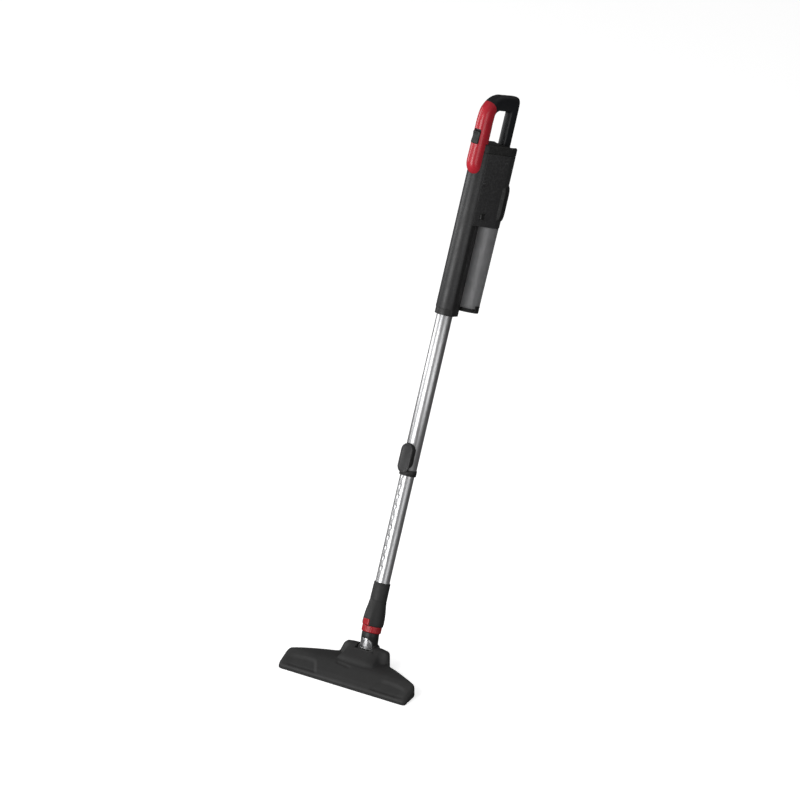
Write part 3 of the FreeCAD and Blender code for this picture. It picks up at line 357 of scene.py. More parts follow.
def noise(tree: bpy.types.NodeTree, place: Socket, scale: float | Socket, detail: float = 3.0,
          rough: float = 0.5) -> Socket:
    """A noise value over a place."""
    return node(tree, "TexNoise", {"Vector": place, "Scale": scale, "Detail": detail,
                                   "Roughness": rough}).outputs["Fac"]


def new_group(name: str, takes: dict[str, float], gives: Sequence[str]) -> bpy.types.NodeTree:
    """Start a node group of float inputs; an output named Normal or Place is a vector.

    Args:
        name: the group's name.
        takes: each input's name and first value.
        gives: the outputs' names.

    Returns:
        The group, with its input and output nodes named "in" and "out".
    """
    tree = bpy.data.node_groups.new(name, "ShaderNodeTree")
    for key, value in takes.items():
        tree.interface.new_socket(key, in_out="INPUT",
                                  socket_type="NodeSocketFloat").default_value = value
    for key in gives:
        kind = "NodeSocketVector" if key in ("Normal", "Place") else "NodeSocketFloat"
        tree.interface.new_socket(key, in_out="OUTPUT", socket_type=kind)
    tree.nodes.new("NodeGroupInput").name = "in"
    tree.nodes.new("NodeGroupOutput").name = "out"
    return tree


def give(tree: bpy.types.NodeTree, **results: Socket) -> bpy.types.NodeTree:
    """Link values to a group's outputs; underscores stand for spaces."""
    for key, value in results.items():
        tree.links.new(value, tree.nodes["out"].inputs[key.replace("_", " ")])
    return tree


def stick_place_group() -> bpy.types.NodeTree:
    """Where a point is in the stick's own frame, so that streaks can run along the tube."""
    tree = new_group("stick_place", {}, ["Place"])
    spot = node(tree, "TexCoord").outputs["Object"]
    turned = node(tree, "Mapping", {"Vector": spot, "Location": STICK.translation,
                                    "Rotation": STICK.to_euler()}, vector_type="TEXTURE")
    return give(tree, Place=turned.outputs[0])


def moulded_group() -> bpy.types.NodeTree:
    """A moulded surface: its fine grain, its slow waviness, and a slow mottle of its tone."""
    tree = new_group("moulded_surface", {"Grain Size": 0.4, "Wave Size": 30.0},
                     ["Height", "Mottle"])
    spot = node(tree, "TexCoord").outputs["Object"]
    fine = times(tree, 1000.0, tree.nodes["in"].outputs["Grain Size"], "DIVIDE")
    slow = times(tree, 1000.0, tree.nodes["in"].outputs["Wave Size"], "DIVIDE")
    grain, wave = noise(tree, spot, fine, 2), noise(tree, spot, slow, 1)
    cells = node(tree, "TexVoronoi", {"Vector": spot, "Scale": fine},
                 feature="SMOOTH_F1").outputs["Distance"]
    height = times(tree, times(tree, grain, cells), times(tree, wave, 0.5), "ADD")
    return give(tree, Height=height, Mottle=ramp(tree, noise(tree, spot, slow, 4, 0.6), 0.3, 0.7))


def wear_group() -> bpy.types.NodeTree:
    """What use leaves: rubbed edges, finger smears and dust that settles on upward faces."""
    tree = new_group("wear", {"Edge Reach": 0.06, "Smear Size": 22.0}, ["Edge", "Smear", "Dust"])
    spot = node(tree, "TexCoord").outputs["Object"]
    bend = node(tree, "NewGeometry")
    reach = times(tree, 0.5, tree.nodes["in"].outputs["Edge Reach"], "ADD")
    raised = node(tree, "MapRange", {"Value": bend.outputs["Pointiness"], "From Min": 0.5,
                                     "From Max": reach})
    broken = ramp(tree, noise(tree, spot, 260, 5, 0.7), 0.42, 0.68)
    smear_scale = times(tree, 1000.0, tree.nodes["in"].outputs["Smear Size"], "DIVIDE")
    smear = ramp(tree, noise(tree, spot, smear_scale, 6, 0.65), 0.42, 0.66)
    up = node(tree, "SeparateXYZ", {0: bend.outputs["Normal"]}).outputs["Z"]
    specks = ramp(tree, noise(tree, spot, 900, 2), 0.6, 0.72)
    settled = times(tree, ramp(tree, up, 0.2, 1.0),
                    ramp(tree, noise(tree, spot, 18, 4), 0.35, 0.75))
    dust = times(tree, settled, times(tree, times(tree, specks, 0.7), 0.3, "ADD"))
    return give(tree, Edge=times(tree, raised.outputs[0], broken), Smear=smear, Dust=dust)


def brushed_group() -> bpy.types.NodeTree:
    """Fine drawn lines along the tube, and faint bands round it."""
    tree = new_group("drawn_metal", {"Line Count": 900.0}, ["Height", "Streak"])
    place = node(tree, "Group", node_tree=bpy.data.node_groups["stick_place"]).outputs[0]
    lean = node(tree, "VectorMath", {0: place, 1: (1, 1, 0.012)}, operation="MULTIPLY").outputs[0]
    lines = noise(tree, lean, tree.nodes["in"].outputs["Line Count"], 3, 0.7)
    slow = node(tree, "VectorMath", {0: place, 1: (1, 1, 0.12)}, operation="MULTIPLY").outputs[0]
    return give(tree, Height=lines, Streak=ramp(tree, noise(tree, slow, 70, 3), 0.3, 0.7))


def build_groups() -> None:
    """Make the shared effects once."""
    for make in (stick_place_group, moulded_group, wear_group, brushed_group):
        make()


# --- finishes ---------------------------------------------------------------------------------

class Surface(Enum):
    """How a finish's surface is made."""

    MOULDED = "moulded"
    SATIN_METAL = "satin metal"
    DRAWN_METAL = "drawn metal"
    SMOKED = "smoked"
    SOFT = "soft"


@dataclass(frozen=True)
class Finish:
    """One finish, named after the record's slot that it fills.

    Attributes:
        slot: the record's material slot.
        colour: the base colour, linear.
        surface: how the surface is made.
        rough: its roughness where clean.
        spread: how much smears and mottle change the roughness.
        depth: the height of its grain in millimetres.
        grain: the size of its grain in millimetres.
        edge: how strongly rubbed edges lighten.
        dust: how strongly dust shows.
        coat: the weight of a clear coat.
        sheen: the weight of a soft sheen.
        specular: the strength of the plain reflection.
        clear: how much light a smoked finish lets through; the rest is haze.
    """

    slot: str
    colour: tuple[float, float, float]
    surface: Surface = Surface.MOULDED
    rough: float = 0.42
    spread: float = 0.12
    depth: float = 0.05
    grain: float = 0.45
    edge: float = 0.25
    dust: float = 0.04
    coat: float = 0.0
    sheen: float = 0.0
    specular: float = 0.5
    clear: float = 0.55

    def material(self) -> bpy.types.Material:
        """The finish's material, built the first time it is asked for."""
        made = bpy.data.materials.get("finish_" + self.slot)
        if made:
            return made
        made = bpy.data.materials.new("finish_" + self.slot)
        made.use_nodes = True
        made.diffuse_color = (*self.colour, 1)
        tree = made.node_tree
        shader = tree.nodes["Principled BSDF"]
        shader.inputs["Specular IOR Level"].default_value = self.specular
        shader.inputs["Coat Weight"].default_value = self.coat
        shader.inputs["Coat Roughness"].default_value = 0.12
        shader.inputs["Sheen Weight"].default_value = self.sheen
        self.dress(tree, shader)
        return made

    def dress(self, tree: bpy.types.NodeTree, shader: bpy.types.Node) -> None:
        """Feed the shader's colour, roughness and normal from the shared effects.

        Args:
            tree: the material's tree.
            shader: its Principled BSDF.
        """
        metal = self.surface in (Surface.SATIN_METAL, Surface.DRAWN_METAL)
        wear = node(tree, "Group", node_tree=bpy.data.node_groups["wear"]).outputs
        skin = node(tree, "Group", {"Grain Size": self.grain},
                    node_tree=bpy.data.node_groups["moulded_surface"]).outputs
        height, tone = skin["Height"], skin["Mottle"]
        if self.surface is Surface.DRAWN_METAL:
            drawn = node(tree, "Group", node_tree=bpy.data.node_groups["drawn_metal"]).outputs
            height, tone = drawn["Height"], drawn["Streak"]
        if metal:
            shader.inputs["Metallic"].default_value = 1.0
        base, deep = self.colour, tuple(c * 0.86 for c in self.colour)
        pale = tuple(min(1.0, c * 1.15 + 0.12) for c in self.colour)
        colour = mix(tree, tone, base, deep)
        colour = mix(tree, times(tree, wear["Edge"], self.edge), colour, pale)
        colour = mix(tree, times(tree, wear["Dust"], self.dust), colour, (0.42, 0.4, 0.37))
        tree.links.new(colour, shader.inputs["Base Color"])
        both = times(tree, times(tree, wear["Smear"], 0.6), times(tree, tone, 0.4), "ADD")
        rough = ramp(tree, both, 0.0, 1.0, self.rough, self.rough + self.spread)
        tree.links.new(rough, shader.inputs["Roughness"])
        eased = node(tree, "Bevel", {"Radius": 0.0005}, samples=4).outputs[0]
        bump = node(tree, "Bump", {"Height": height, "Normal": eased, "Distance": self.depth * MM,
                                   "Strength": 1.0})
        tree.links.new(bump.outputs[0], shader.inputs["Normal"])
        if self.surface is Surface.SMOKED:
            shader.inputs["Transmission Weight"].default_value = self.clear
            shader.inputs["IOR"].default_value = 1.35


def mix(tree: bpy.types.NodeTree, share: Socket, one: Socket | Sequence[float],
        other: Socket | Sequence[float]) -> Socket:
    """Blend two colours by a share."""
    made = node(tree, "Mix", {"Factor": share}, data_type="RGBA")
    for index, value in ((6, one), (7, other)):
        if isinstance(value, bpy.types.NodeSocket):
            tree.links.new(value, made.inputs[index])
        else:
            made.inputs[index].default_value = (*value, 1)
    return made.outputs[2]


GRAPHITE = Finish("graphite_shell", (0.030, 0.030, 0.031), rough=0.40, spread=0.10, depth=0.022,
                  grain=0.35)
BLACK = Finish("black_shell", (0.011, 0.011, 0.011), rough=0.46)
LOOP_BLACK = Finish("loop_black", (0.010, 0.011, 0.014), rough=0.38)
RED_GRIP = Finish("red_grip", (0.62, 0.016, 0.034), rough=0.34, spread=0.1, depth=0.02, coat=0.35,
                  edge=0.1, dust=0.05)
RED_PLASTIC = Finish("red_plastic", (0.45, 0.012, 0.02), rough=0.32, depth=0.02, edge=0.1,
                     dust=0.05)
SWITCH = Finish("switch_black", (0.018, 0.020, 0.018), rough=0.5, grain=0.6, depth=0.08)
SMOKED = Finish("smoked_clear", (0.55, 0.55, 0.56), Surface.SMOKED, rough=0.12, spread=0.10,
                depth=0.004, edge=0.0,
                dust=0.08)
TUBE = Finish("tube_metal", (0.66, 0.66, 0.67), Surface.DRAWN_METAL, rough=0.34, spread=0.08,
              depth=0.004, edge=0.0,
              dust=0.03)
HEAD = Finish("head_plastic", (0.034, 0.034, 0.034), rough=0.56, spread=0.10, depth=0.03, edge=0.12,
              dust=0.03, specular=0.32)
RUBBER = Finish("rubber", (0.014, 0.014, 0.014), Surface.SOFT, rough=0.72, depth=0.08, grain=0.7,
                dust=0.25, sheen=0.1)
BRISTLE = Finish("bristle", (0.03, 0.03, 0.032), Surface.SOFT, rough=0.55, sheen=0.3, dust=0.2)
LINT = Finish("lint_red", (0.38, 0.02, 0.03), Surface.SOFT, rough=0.85, depth=0.25, grain=0.5,
              sheen=0.8)
INNER = Finish("inner_plastic", (0.022, 0.022, 0.023), rough=0.5)
PAPER = Finish("filter_paper", (0.62, 0.60, 0.55), Surface.SOFT, rough=0.9, depth=0.12, grain=0.3,
               dust=0.5)
STEEL = Finish("steel", (0.22, 0.22, 0.23), Surface.SATIN_METAL, rough=0.4, depth=0.01)
CELL = Finish("cell_wrap", (0.03, 0.10, 0.22), rough=0.3, depth=0.02, coat=0.3)
BOARD = Finish("board_green", (0.01, 0.09, 0.035), rough=0.35, depth=0.03, grain=1.2)
SILVER = Finish("silver_plate", (0.80, 0.80, 0.82), Surface.SATIN_METAL, rough=0.22, depth=0.008,
                edge=0.0)
FINISHES = {f.slot: f for f in (GRAPHITE, BLACK, LOOP_BLACK, RED_GRIP, RED_PLASTIC, SWITCH, SMOKED,
                                TUBE, HEAD, RUBBER,
                                BRISTLE, LINT, INNER, PAPER, STEEL, CELL, BOARD, SILVER)}


def settle(thing: bpy.types.Object, body: Body, finish: Finish, *nodes: str) -> bpy.types.Object:
    """Dress a piece, let it ride on its body and let it stand for CAD nodes.

    Args:
        thing: the finished mesh.
        body: the body it moves with.
        finish: what it is made of.
        nodes: the CAD nodes it replaces.

    Returns:
        The piece.
    """
    thing.data.materials.clear()
    thing.data.materials.append(finish.material())
    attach(thing, body.value)
    if nodes:
        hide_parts(*nodes)
    LOG.info("%s rides on %s, in %s, for %s", thing.name, body.value, finish.slot,
             ", ".join(nodes) or "itself")
    return thing


def dress_nodes() -> None:
    """Give every CAD node that still shows its finish."""
    for name, thing in frame["nodes"].items():
        for index, material in enumerate(thing.data.materials):
            if material and material.name in FINISHES:
                thing.material_slots[index].material = FINISHES[material.name].material()
        if not thing.hide_render:
            LOG.info("%s keeps its own shape", name)


# --- telescopic tube --------------------------------------------------------------------------

def stadium(half: float, low: float, high: float, steps: int = 20) -> list[Pair]:
    """An upright slot outline as (x, z) points."""
    loop = [(half * math.cos(math.pi * i / steps),
             high - half + half * math.sin(math.pi * i / steps))
            for i in range(steps + 1)]
    return loop + [(-x, low + high - z) for x, z in loop]


@dataclass
class Telescope:
    """Both tubes, the upper one's end ring, and the oval slider on its saddle."""

    upper_radius: float = 16.0
    upper_wall: float = 0.8
    upper_low: float = 368.0
    upper_high: float = 774.0
    lower_radius: float = 14.5
    lower_wall: float = 1.4
    lower_low: float = 77.0
    lower_high: float = 453.0
    dimple_low: float = 165.0
    dimple_pitch: float = 21.0
    dimple_count: int = 10
    dimple_half: float = 3.3
    dimple_long: float = 11.0
    dimple_deep: float = 0.9
    ring_radius: float = 17.3
    ring_low: float = 362.0
    ring_high: float = 374.0
    slider_half: float = 14.0
    slider_low: float = 367.0
    slider_high: float = 427.0
    slider_back: float = 19.1
    slider_face: float = 22.4
    base_face: float = 18.7
    pin_height: float = 398.0
    pin_room: float = 3.3
    rib_pitch: float = 5.6
    rib_count: int = 5
    dimple_edge: float = 1.5

    def build(self) -> None:
        """Make the five pieces."""
        self.upper_tube()
        self.lower_tube()
        self.end_ring()
        self.saddle()
        self.slider()

    def upper_tube(self) -> None:
        """The wide tube, rolled in at its open end."""
        out, inner, low = self.upper_radius, self.upper_radius - self.upper_wall, self.upper_low
        mesh = Mesh("upper_tube_skin")
        mesh.lathe([(inner, low + 0.4), (inner + 0.2, low), (out - 0.2, low), (out, low + 0.4),
                    (out, self.upper_high - 0.4), (out - 0.3, self.upper_high),
                    (inner, self.upper_high)],
                   steps=128)
        tube = mesh.finish()
        carve(tube, self.pin_way(8, 18))
        settle(shade(tube), Body.MAIN, TUBE, "upper_tube")

    def pin_way(self, near: float, far: float) -> bpy.types.Object:
        """A cutter for the lock pin's hole."""
        mesh = Mesh("cutter")
        mesh.prism(stadium(self.pin_room, self.pin_height - self.pin_room,
                           self.pin_height + self.pin_room, 12),
                   -far, -near, "y")
        return mesh.finish()

    def sink(self, across: float, height: float) -> float:
        """How deep the dimple under a spot of the lower tube's front is.

        Args:
            across: distance from the front line, along the surface.
            height: place up the tube.

        Returns:
            The depth.
        """
        row = round((height - self.dimple_low - self.dimple_long / 2) / self.dimple_pitch)
        row = max(0, min(self.dimple_count - 1, row))
        middle = self.dimple_low + row * self.dimple_pitch + self.dimple_long / 2
        reach = max(0.0, abs(height - middle) - (self.dimple_long / 2 - self.dimple_half))
        away = math.hypot(across, reach)
        if away >= self.dimple_half:
            return 0.0
        return self.dimple_deep * smooth((self.dimple_half - away) / self.dimple_edge)

    def lower_tube(self) -> None:
        """The narrow tube with its row of pressed dimples."""
        steps, out, inner = 180, self.lower_radius, self.lower_radius - self.lower_wall
        first, last = self.dimple_low - 4, self.dimple_low + self.dimple_count * self.dimple_pitch
        heights = [self.lower_low, self.lower_low + 0.4, first]
        heights += [first + i * 0.75 for i in range(1, int((last - first) / 0.75))]
        heights += [last, self.lower_high - 0.4, self.lower_high]
        mesh = Mesh("lower_tube_skin")
        rings = []
        for z in heights:
            ring = []
            for i in range(steps):
                turn = 2 * math.pi * i / steps
                across = out * (turn - 1.5 * math.pi)
                radius = out - self.sink(across, z)
                ring.append((radius * math.cos(turn), radius * math.sin(turn), z))
            rings.append(ring)
        for z in (self.lower_high, self.lower_low):
            rings.append([(x, y, z) for x, y in circle(inner, steps)])
        mesh.skin(rings, closed=True)
        settle(shade(mesh.finish(), 50), Body.INNER_TUBE, TUBE, "lower_tube")

    def end_ring(self) -> None:
        """The plastic ring on the upper tube's open end, with a groove round it."""
        out, low, high = self.ring_radius, self.ring_low, self.ring_high
        lip = self.lower_radius + 0.4
        mesh = Mesh("tube_end_ring_skin")
        mesh.lathe([(lip, low + 0.6), (lip + 0.6, low), (out - 1.0, low), (out - 0.3, low + 0.3),
                    (out, low + 1.0),
                    (out, low + 3.2), (out - 0.5, low + 3.5), (out - 0.5, low + 4.1),
                    (out, low + 4.4),
                    (out, high - 0.8), (out - 0.3, high - 0.2), (out - 0.8, high),
                    (self.upper_radius, high),
                    (self.upper_radius, self.upper_low), (lip, self.upper_low)], steps=96)
        settle(shade(mesh.finish()), Body.MAIN, BLACK, "tube_end_ring")

    def saddle(self) -> None:
        """The saddle that straps the slider to the tube."""
        mesh = Mesh("button_base_skin")
        rings = []
        for inset, depth in ((0.6, 7.4), (0.0, 8.4), (0.0, 16.5), (0.5, 18.0),
                             (1.4, self.base_face)):
            outline = stadium(self.slider_half - 0.6 - inset, self.slider_low + 7 + inset,
                              self.slider_high + 1 - inset)
            rings.append([(x, -depth, z) for x, z in outline])
        mesh.skin(rings)
        saddle = mesh.finish()
        bore = Mesh("cutter")
        bore.lathe([(0, 300), (self.upper_radius, 300), (self.upper_radius, 500), (0, 500)],
                   steps=96)
        carve(saddle, bore.finish(), self.pin_way(10, 25))
        settle(shade(saddle), Body.MAIN, BLACK, "button_base")

    def slider(self) -> None:
        """The oval slider: a raised rim round a dished face with thumb ribs."""
        mesh = Mesh("tube_button_skin")
        back, face = self.slider_back, self.slider_face
        rings = []
        for inset, depth in ((0.3, back), (0.0, back + 0.4), (0.0, face - 1.2), (0.35, face - 0.4),
                             (1.1, face),
                             (2.3, face), (3.0, face - 0.3), (3.6, face - 1.0), (4.4, face - 1.25)):
            outline = stadium(self.slider_half - inset, self.slider_low + inset,
                              self.slider_high - inset)
            rings.append([(x, -depth, z) for x, z in outline])
        mesh.skin(rings)
        middle = (self.slider_low + self.slider_high) / 2 + 4
        for i in range(self.rib_count):
            z = middle + (i - (self.rib_count - 1) / 2) * self.rib_pitch
            bar = rounded([(-7.4, z - 1.1), (7.4, z - 1.1), (7.4, z + 1.1), (-7.4, z + 1.1)],
                          [1.0] * 4, 4)
            mesh.skin([[(x, -depth, c) for x, c in bar] for depth in (face - 1.5, face - 0.5)]
                      + [[(x * 0.96, -(face - 0.1), z + (c - z) * 0.55) for x, c in bar]])
        slider = mesh.finish()
        hollow = Mesh("cutter")
        hollow.prism(stadium(self.pin_room, self.pin_height - 6 - self.pin_room,
                             self.pin_height + self.pin_room, 12),
                     -back - 1.75, -back + 1, "y")
        carve(slider, hollow.finish())
        settle(shade(slider), Body.SLIDER, GRAPHITE, "tube_button")


# --- main body --------------------------------------------------------------------------------

SEAM = math.sqrt(21.7 ** 2 - 7 ** 2)


def housing_loop(inset: float = 0.0) -> list[Pair]:
    """The motor housing's section, as an outline."""
    right = [(SEAM - inset, -7.0), (33 - inset, 53.0), (33 - inset, 88 - inset)]
    corners = right + [(-x, y) for x, y in reversed(right)]
    big = 31 - inset
    return rounded(corners, [0, 12, big, big, 12, 0], 16)


@dataclass
class Casing:
    """The main body's outer shells."""

    front_radius: float = 21.7
    wall: float = 2.2
    shell_low: float = 704.0
    seam: float = 7.0
    spine_low: float = 692.0
    housing_low: float = 878.0
    band_low: float = 1025.0
    top: float = 1042.0
    cup_axis: float = 58.5
    cup_way: float = 28.2
    grille_low: float = 892.0
    grille_high: float = 965.0
    screw_spots: tuple[Pair, ...] = ((0, 964), (44, 1010))
    well_radius: float = 2.7
    duct_radius: float = 12.0
    duct_height: float = 796.0
    jack_radius: float = 4.95
    jack_height: float = 1006.0
    slope_start: float = 72.0
    slope_run: float = 16.0
    slope_share: float = 0.55
    latch_at: Pair = (14.0, 898.0)
    latch_half: float = 5.4
    latch_pocket: float = 23.2
    spring_room: float = 3.1
    rib_pitch: float = 3.0

    def build(self) -> None:
        """Make the shells, the band, the grille and the latch."""
        self.front_shell()
        self.rear_spine()
        self.motor_housing()
        self.top_band()
        self.grille()
        self.latch()

    def front_shell(self) -> None:
        """The half-round front, drawn in a little at its foot."""
        start = math.asin(self.seam / self.front_radius)
        angles = [math.pi + start + (math.pi - 2 * start) * i / 48 for i in range(49)]
        mesh = Mesh("front_shell_skin")
        rings = []
        for z, shrink in ((self.shell_low, 1.2), (self.shell_low + 0.6, 0.45),
                          (self.shell_low + 2.0, 0.0),
                          (self.band_low - 0.7, 0.0), (self.band_low - 0.2, 0.25),
                          (self.band_low, 0.6)):
            out = self.front_radius - shrink
            inner = self.front_radius - self.wall
            rings.append([(out * math.cos(a), out * math.sin(a), z) for a in angles]
                         + [(inner * math.cos(a), inner * math.sin(a), z)
                            for a in reversed(angles)])
        mesh.skin(rings)
        settle(soften(mesh.finish(), 0.35), Body.MAIN, GRAPHITE, "front_shell")

    def rear_spine(self) -> None:
        """The dark spine behind the front shell, with a groove down each side."""
        right = [(SEAM - 0.1, -self.seam), (20.8, 1.0), (19.0, 8.6), (18.2, 8.9), (18.0, 10.1),
                 (18.5, 10.6),
                 (14.5, 25.5)]
        corners = right + [(-x, y) for x, y in reversed(right)]
        radii = [0, 5, 0.4, 0.3, 0.3, 0.4, 4.5]
        outline = rounded(corners, radii + radii[::-1], 8)
        mesh = Mesh("rear_spine_skin")
        mesh.prism(outline, self.spine_low, self.housing_low + 1)
        front = [(20.9 * math.cos(a), 20.9 * math.sin(a)) for a in
                 [math.pi + 0.33 + (math.pi - 0.66) * i / 40 for i in range(41)]]
        spine = soften(mesh.finish(), 1.1, 60)
        skirt = Mesh("skirt")
        skirt.prism(front, self.spine_low, self.shell_low + 3)
        toe = soften(skirt.finish(), 1.1, 60)
        carve(spine, toe, operation="UNION")
        bore = Mesh("cutter")
        bore.lathe([(0, 690), (16.05, 690), (16.05, 705), (0, 705)], steps=96)
        duct = Mesh("cutter")
        duct.prism(circle(self.duct_radius, 64, (0, self.duct_height)), 18, 30, "y")
        carve(spine, bore.finish(), duct.finish())
        settle(shade(spine), Body.MAIN, BLACK, "rear_spine")

    def motor_housing(self) -> None:
        """The flat-sided housing with its openings."""
        mesh = Mesh("motor_housing_skin")
        mesh.prism(housing_loop(), self.housing_low, self.band_low)
        housing = soften(mesh.finish(), 1.6, 50, 4)
        inside = Mesh("cutter")
        inside.prism(housing_loop(self.wall), self.housing_low + self.wall, self.band_low + 2)
        hole = Mesh("cutter")
        hole.lathe([(0, 870), (self.cup_way, 870), (self.cup_way, 884), (0, 884)],
                   (0, self.cup_axis))
        vent = block(STICK, (-22, 22), (78, 92), (self.grille_low + 8, self.grille_high - 8), 3,
                     "y")
        latch = block(STICK, (16, 30), (8.1, 19.9), (892.1, 903.9), 1.6, "x")
        jack = Mesh("cutter")
        jack.prism(circle(self.jack_radius, 48, (0, self.jack_height)), 74, 92, "y")
        wells = []
        for side in (-1, 1):
            for depth, height in self.screw_spots:
                face = SEAM + (self.seam + depth) * (33 - SEAM) / (53 + self.seam)
                well = Mesh("cutter")
                spans = sorted((side * (face - 3.7), side * (face + 2)))
                well.prism(circle(self.well_radius, 32, (depth, height)), spans[0], spans[1], "x")
                wells.append(well.finish())
        carve(housing, inside.finish(), hole.finish(), vent, latch, jack.finish(), *wells)
        settle(shade(housing), Body.MAIN, GRAPHITE, "motor_housing")

    def top_band(self) -> None:
        """The dark band over the housing, with its top edge rolled over."""
        start = math.asin(self.seam / self.front_radius)
        front = [(21.65 * math.cos(a), 21.65 * math.sin(a)) for a in
                 [math.pi + start + (math.pi - 2 * start) * i / 40 for i in range(1, 40)]]
        outline = housing_loop() + front
        mesh = Mesh("top_band_skin")
        rings = []
        middle = (0.0, 35.0)
        for z, inset in ((self.band_low + 0.3, 0.5), (self.band_low + 0.7, 0.0),
                         (self.top - 3.4, 0.0),
                         (self.top - 2.2, 0.3), (self.top - 1.0, 1.1), (self.top - 0.25, 2.3),
                         (self.top, 3.6)):
            ring = []
            for x, y in outline:
                way = Vector((x - middle[0], (y - middle[1]) * 0.8))
                way.normalize()
                rear = max(0.0, min(1.0, (y - self.slope_start) / self.slope_run))
                fall = self.slope_share * rear * (z - self.band_low - 0.3)
                ring.append((x - way.x * inset, y - way.y * inset, z - fall))
            rings.append(ring)
        mesh.skin(rings)
        settle(shade(mesh.finish(), 30), Body.MAIN, BLACK, "top_band")

    def grille(self) -> None:
        """The slotted cover that swells out of the housing's rear."""
        mesh = Mesh("exhaust_grille_skin")
        rings = []
        for z, proud in ((892, 0.1), (893.5, 1.3), (897, 2.7), (902, 3.6), (908, 4.0), (949, 4.0),
                         (955, 3.6),
                         (960, 2.7), (963.5, 1.3), (965, 0.1)):
            right = [(30.0, 47.0), (33 + proud, 56.0), (33 + proud, 88 + proud)]
            corners = right + [(-x, y) for x, y in reversed(right)]
            big = 31 + proud
            rings.append([(x, y, z) for x, y in rounded(corners, [0, 3, big, big, 3, 0], 16)])
        mesh.skin(rings)
        grille = mesh.finish()
        inside = Mesh("cutter")
        inside.prism(housing_loop(2.0), 880, 980)
        slots = [block(STICK, (7 * i - 1.5, 7 * i + 1.5), (70, 96), (902, 955), 1.4, "y")
                 for i in range(-3, 4)]
        carve(grille, inside.finish(), *slots)
        settle(shade(grille, 35), Body.MAIN, BLACK, "exhaust_grille")

    def latch(self) -> None:
        """The cup's push button, with three finger ribs."""
        mesh = Mesh("cup_latch_skin")
        rear, up = self.latch_at
        half = self.latch_half
        mesh.prism(rounded([(rear - half, up - half), (rear + half, up - half),
                            (rear + half, up + half),
                            (rear - half, up + half)], [1.6] * 4), 20.4, 26.4, "x")
        latch = soften(mesh.finish(), 0.6)
        pocket = Mesh("cutter")
        pocket.prism(circle(self.spring_room, 32, self.latch_at), 19, self.latch_pocket, "x")
        carve(latch, pocket.finish())
        for z in (up - self.rib_pitch, up, up + self.rib_pitch):
            carve(latch, block(STICK, (25.9, 27.5), (10, 18), (z - 0.5, z + 0.5), 0.4, "x"))
        settle(shade(latch), Body.LATCH, BLACK, "cup_latch")


def join(thing: bpy.types.Object, *others: bpy.types.Object) -> bpy.types.Object:
    """Take other meshes into a piece's own mesh."""
    mesh = bmesh.new()
    for source in (thing, *others):
        mesh.from_mesh(source.data)
    mesh.to_mesh(thing.data)
    mesh.free()
    for other in others:
        bpy.data.objects.remove(other)
    return thing


# --- handle -----------------------------------------------------------------------------------

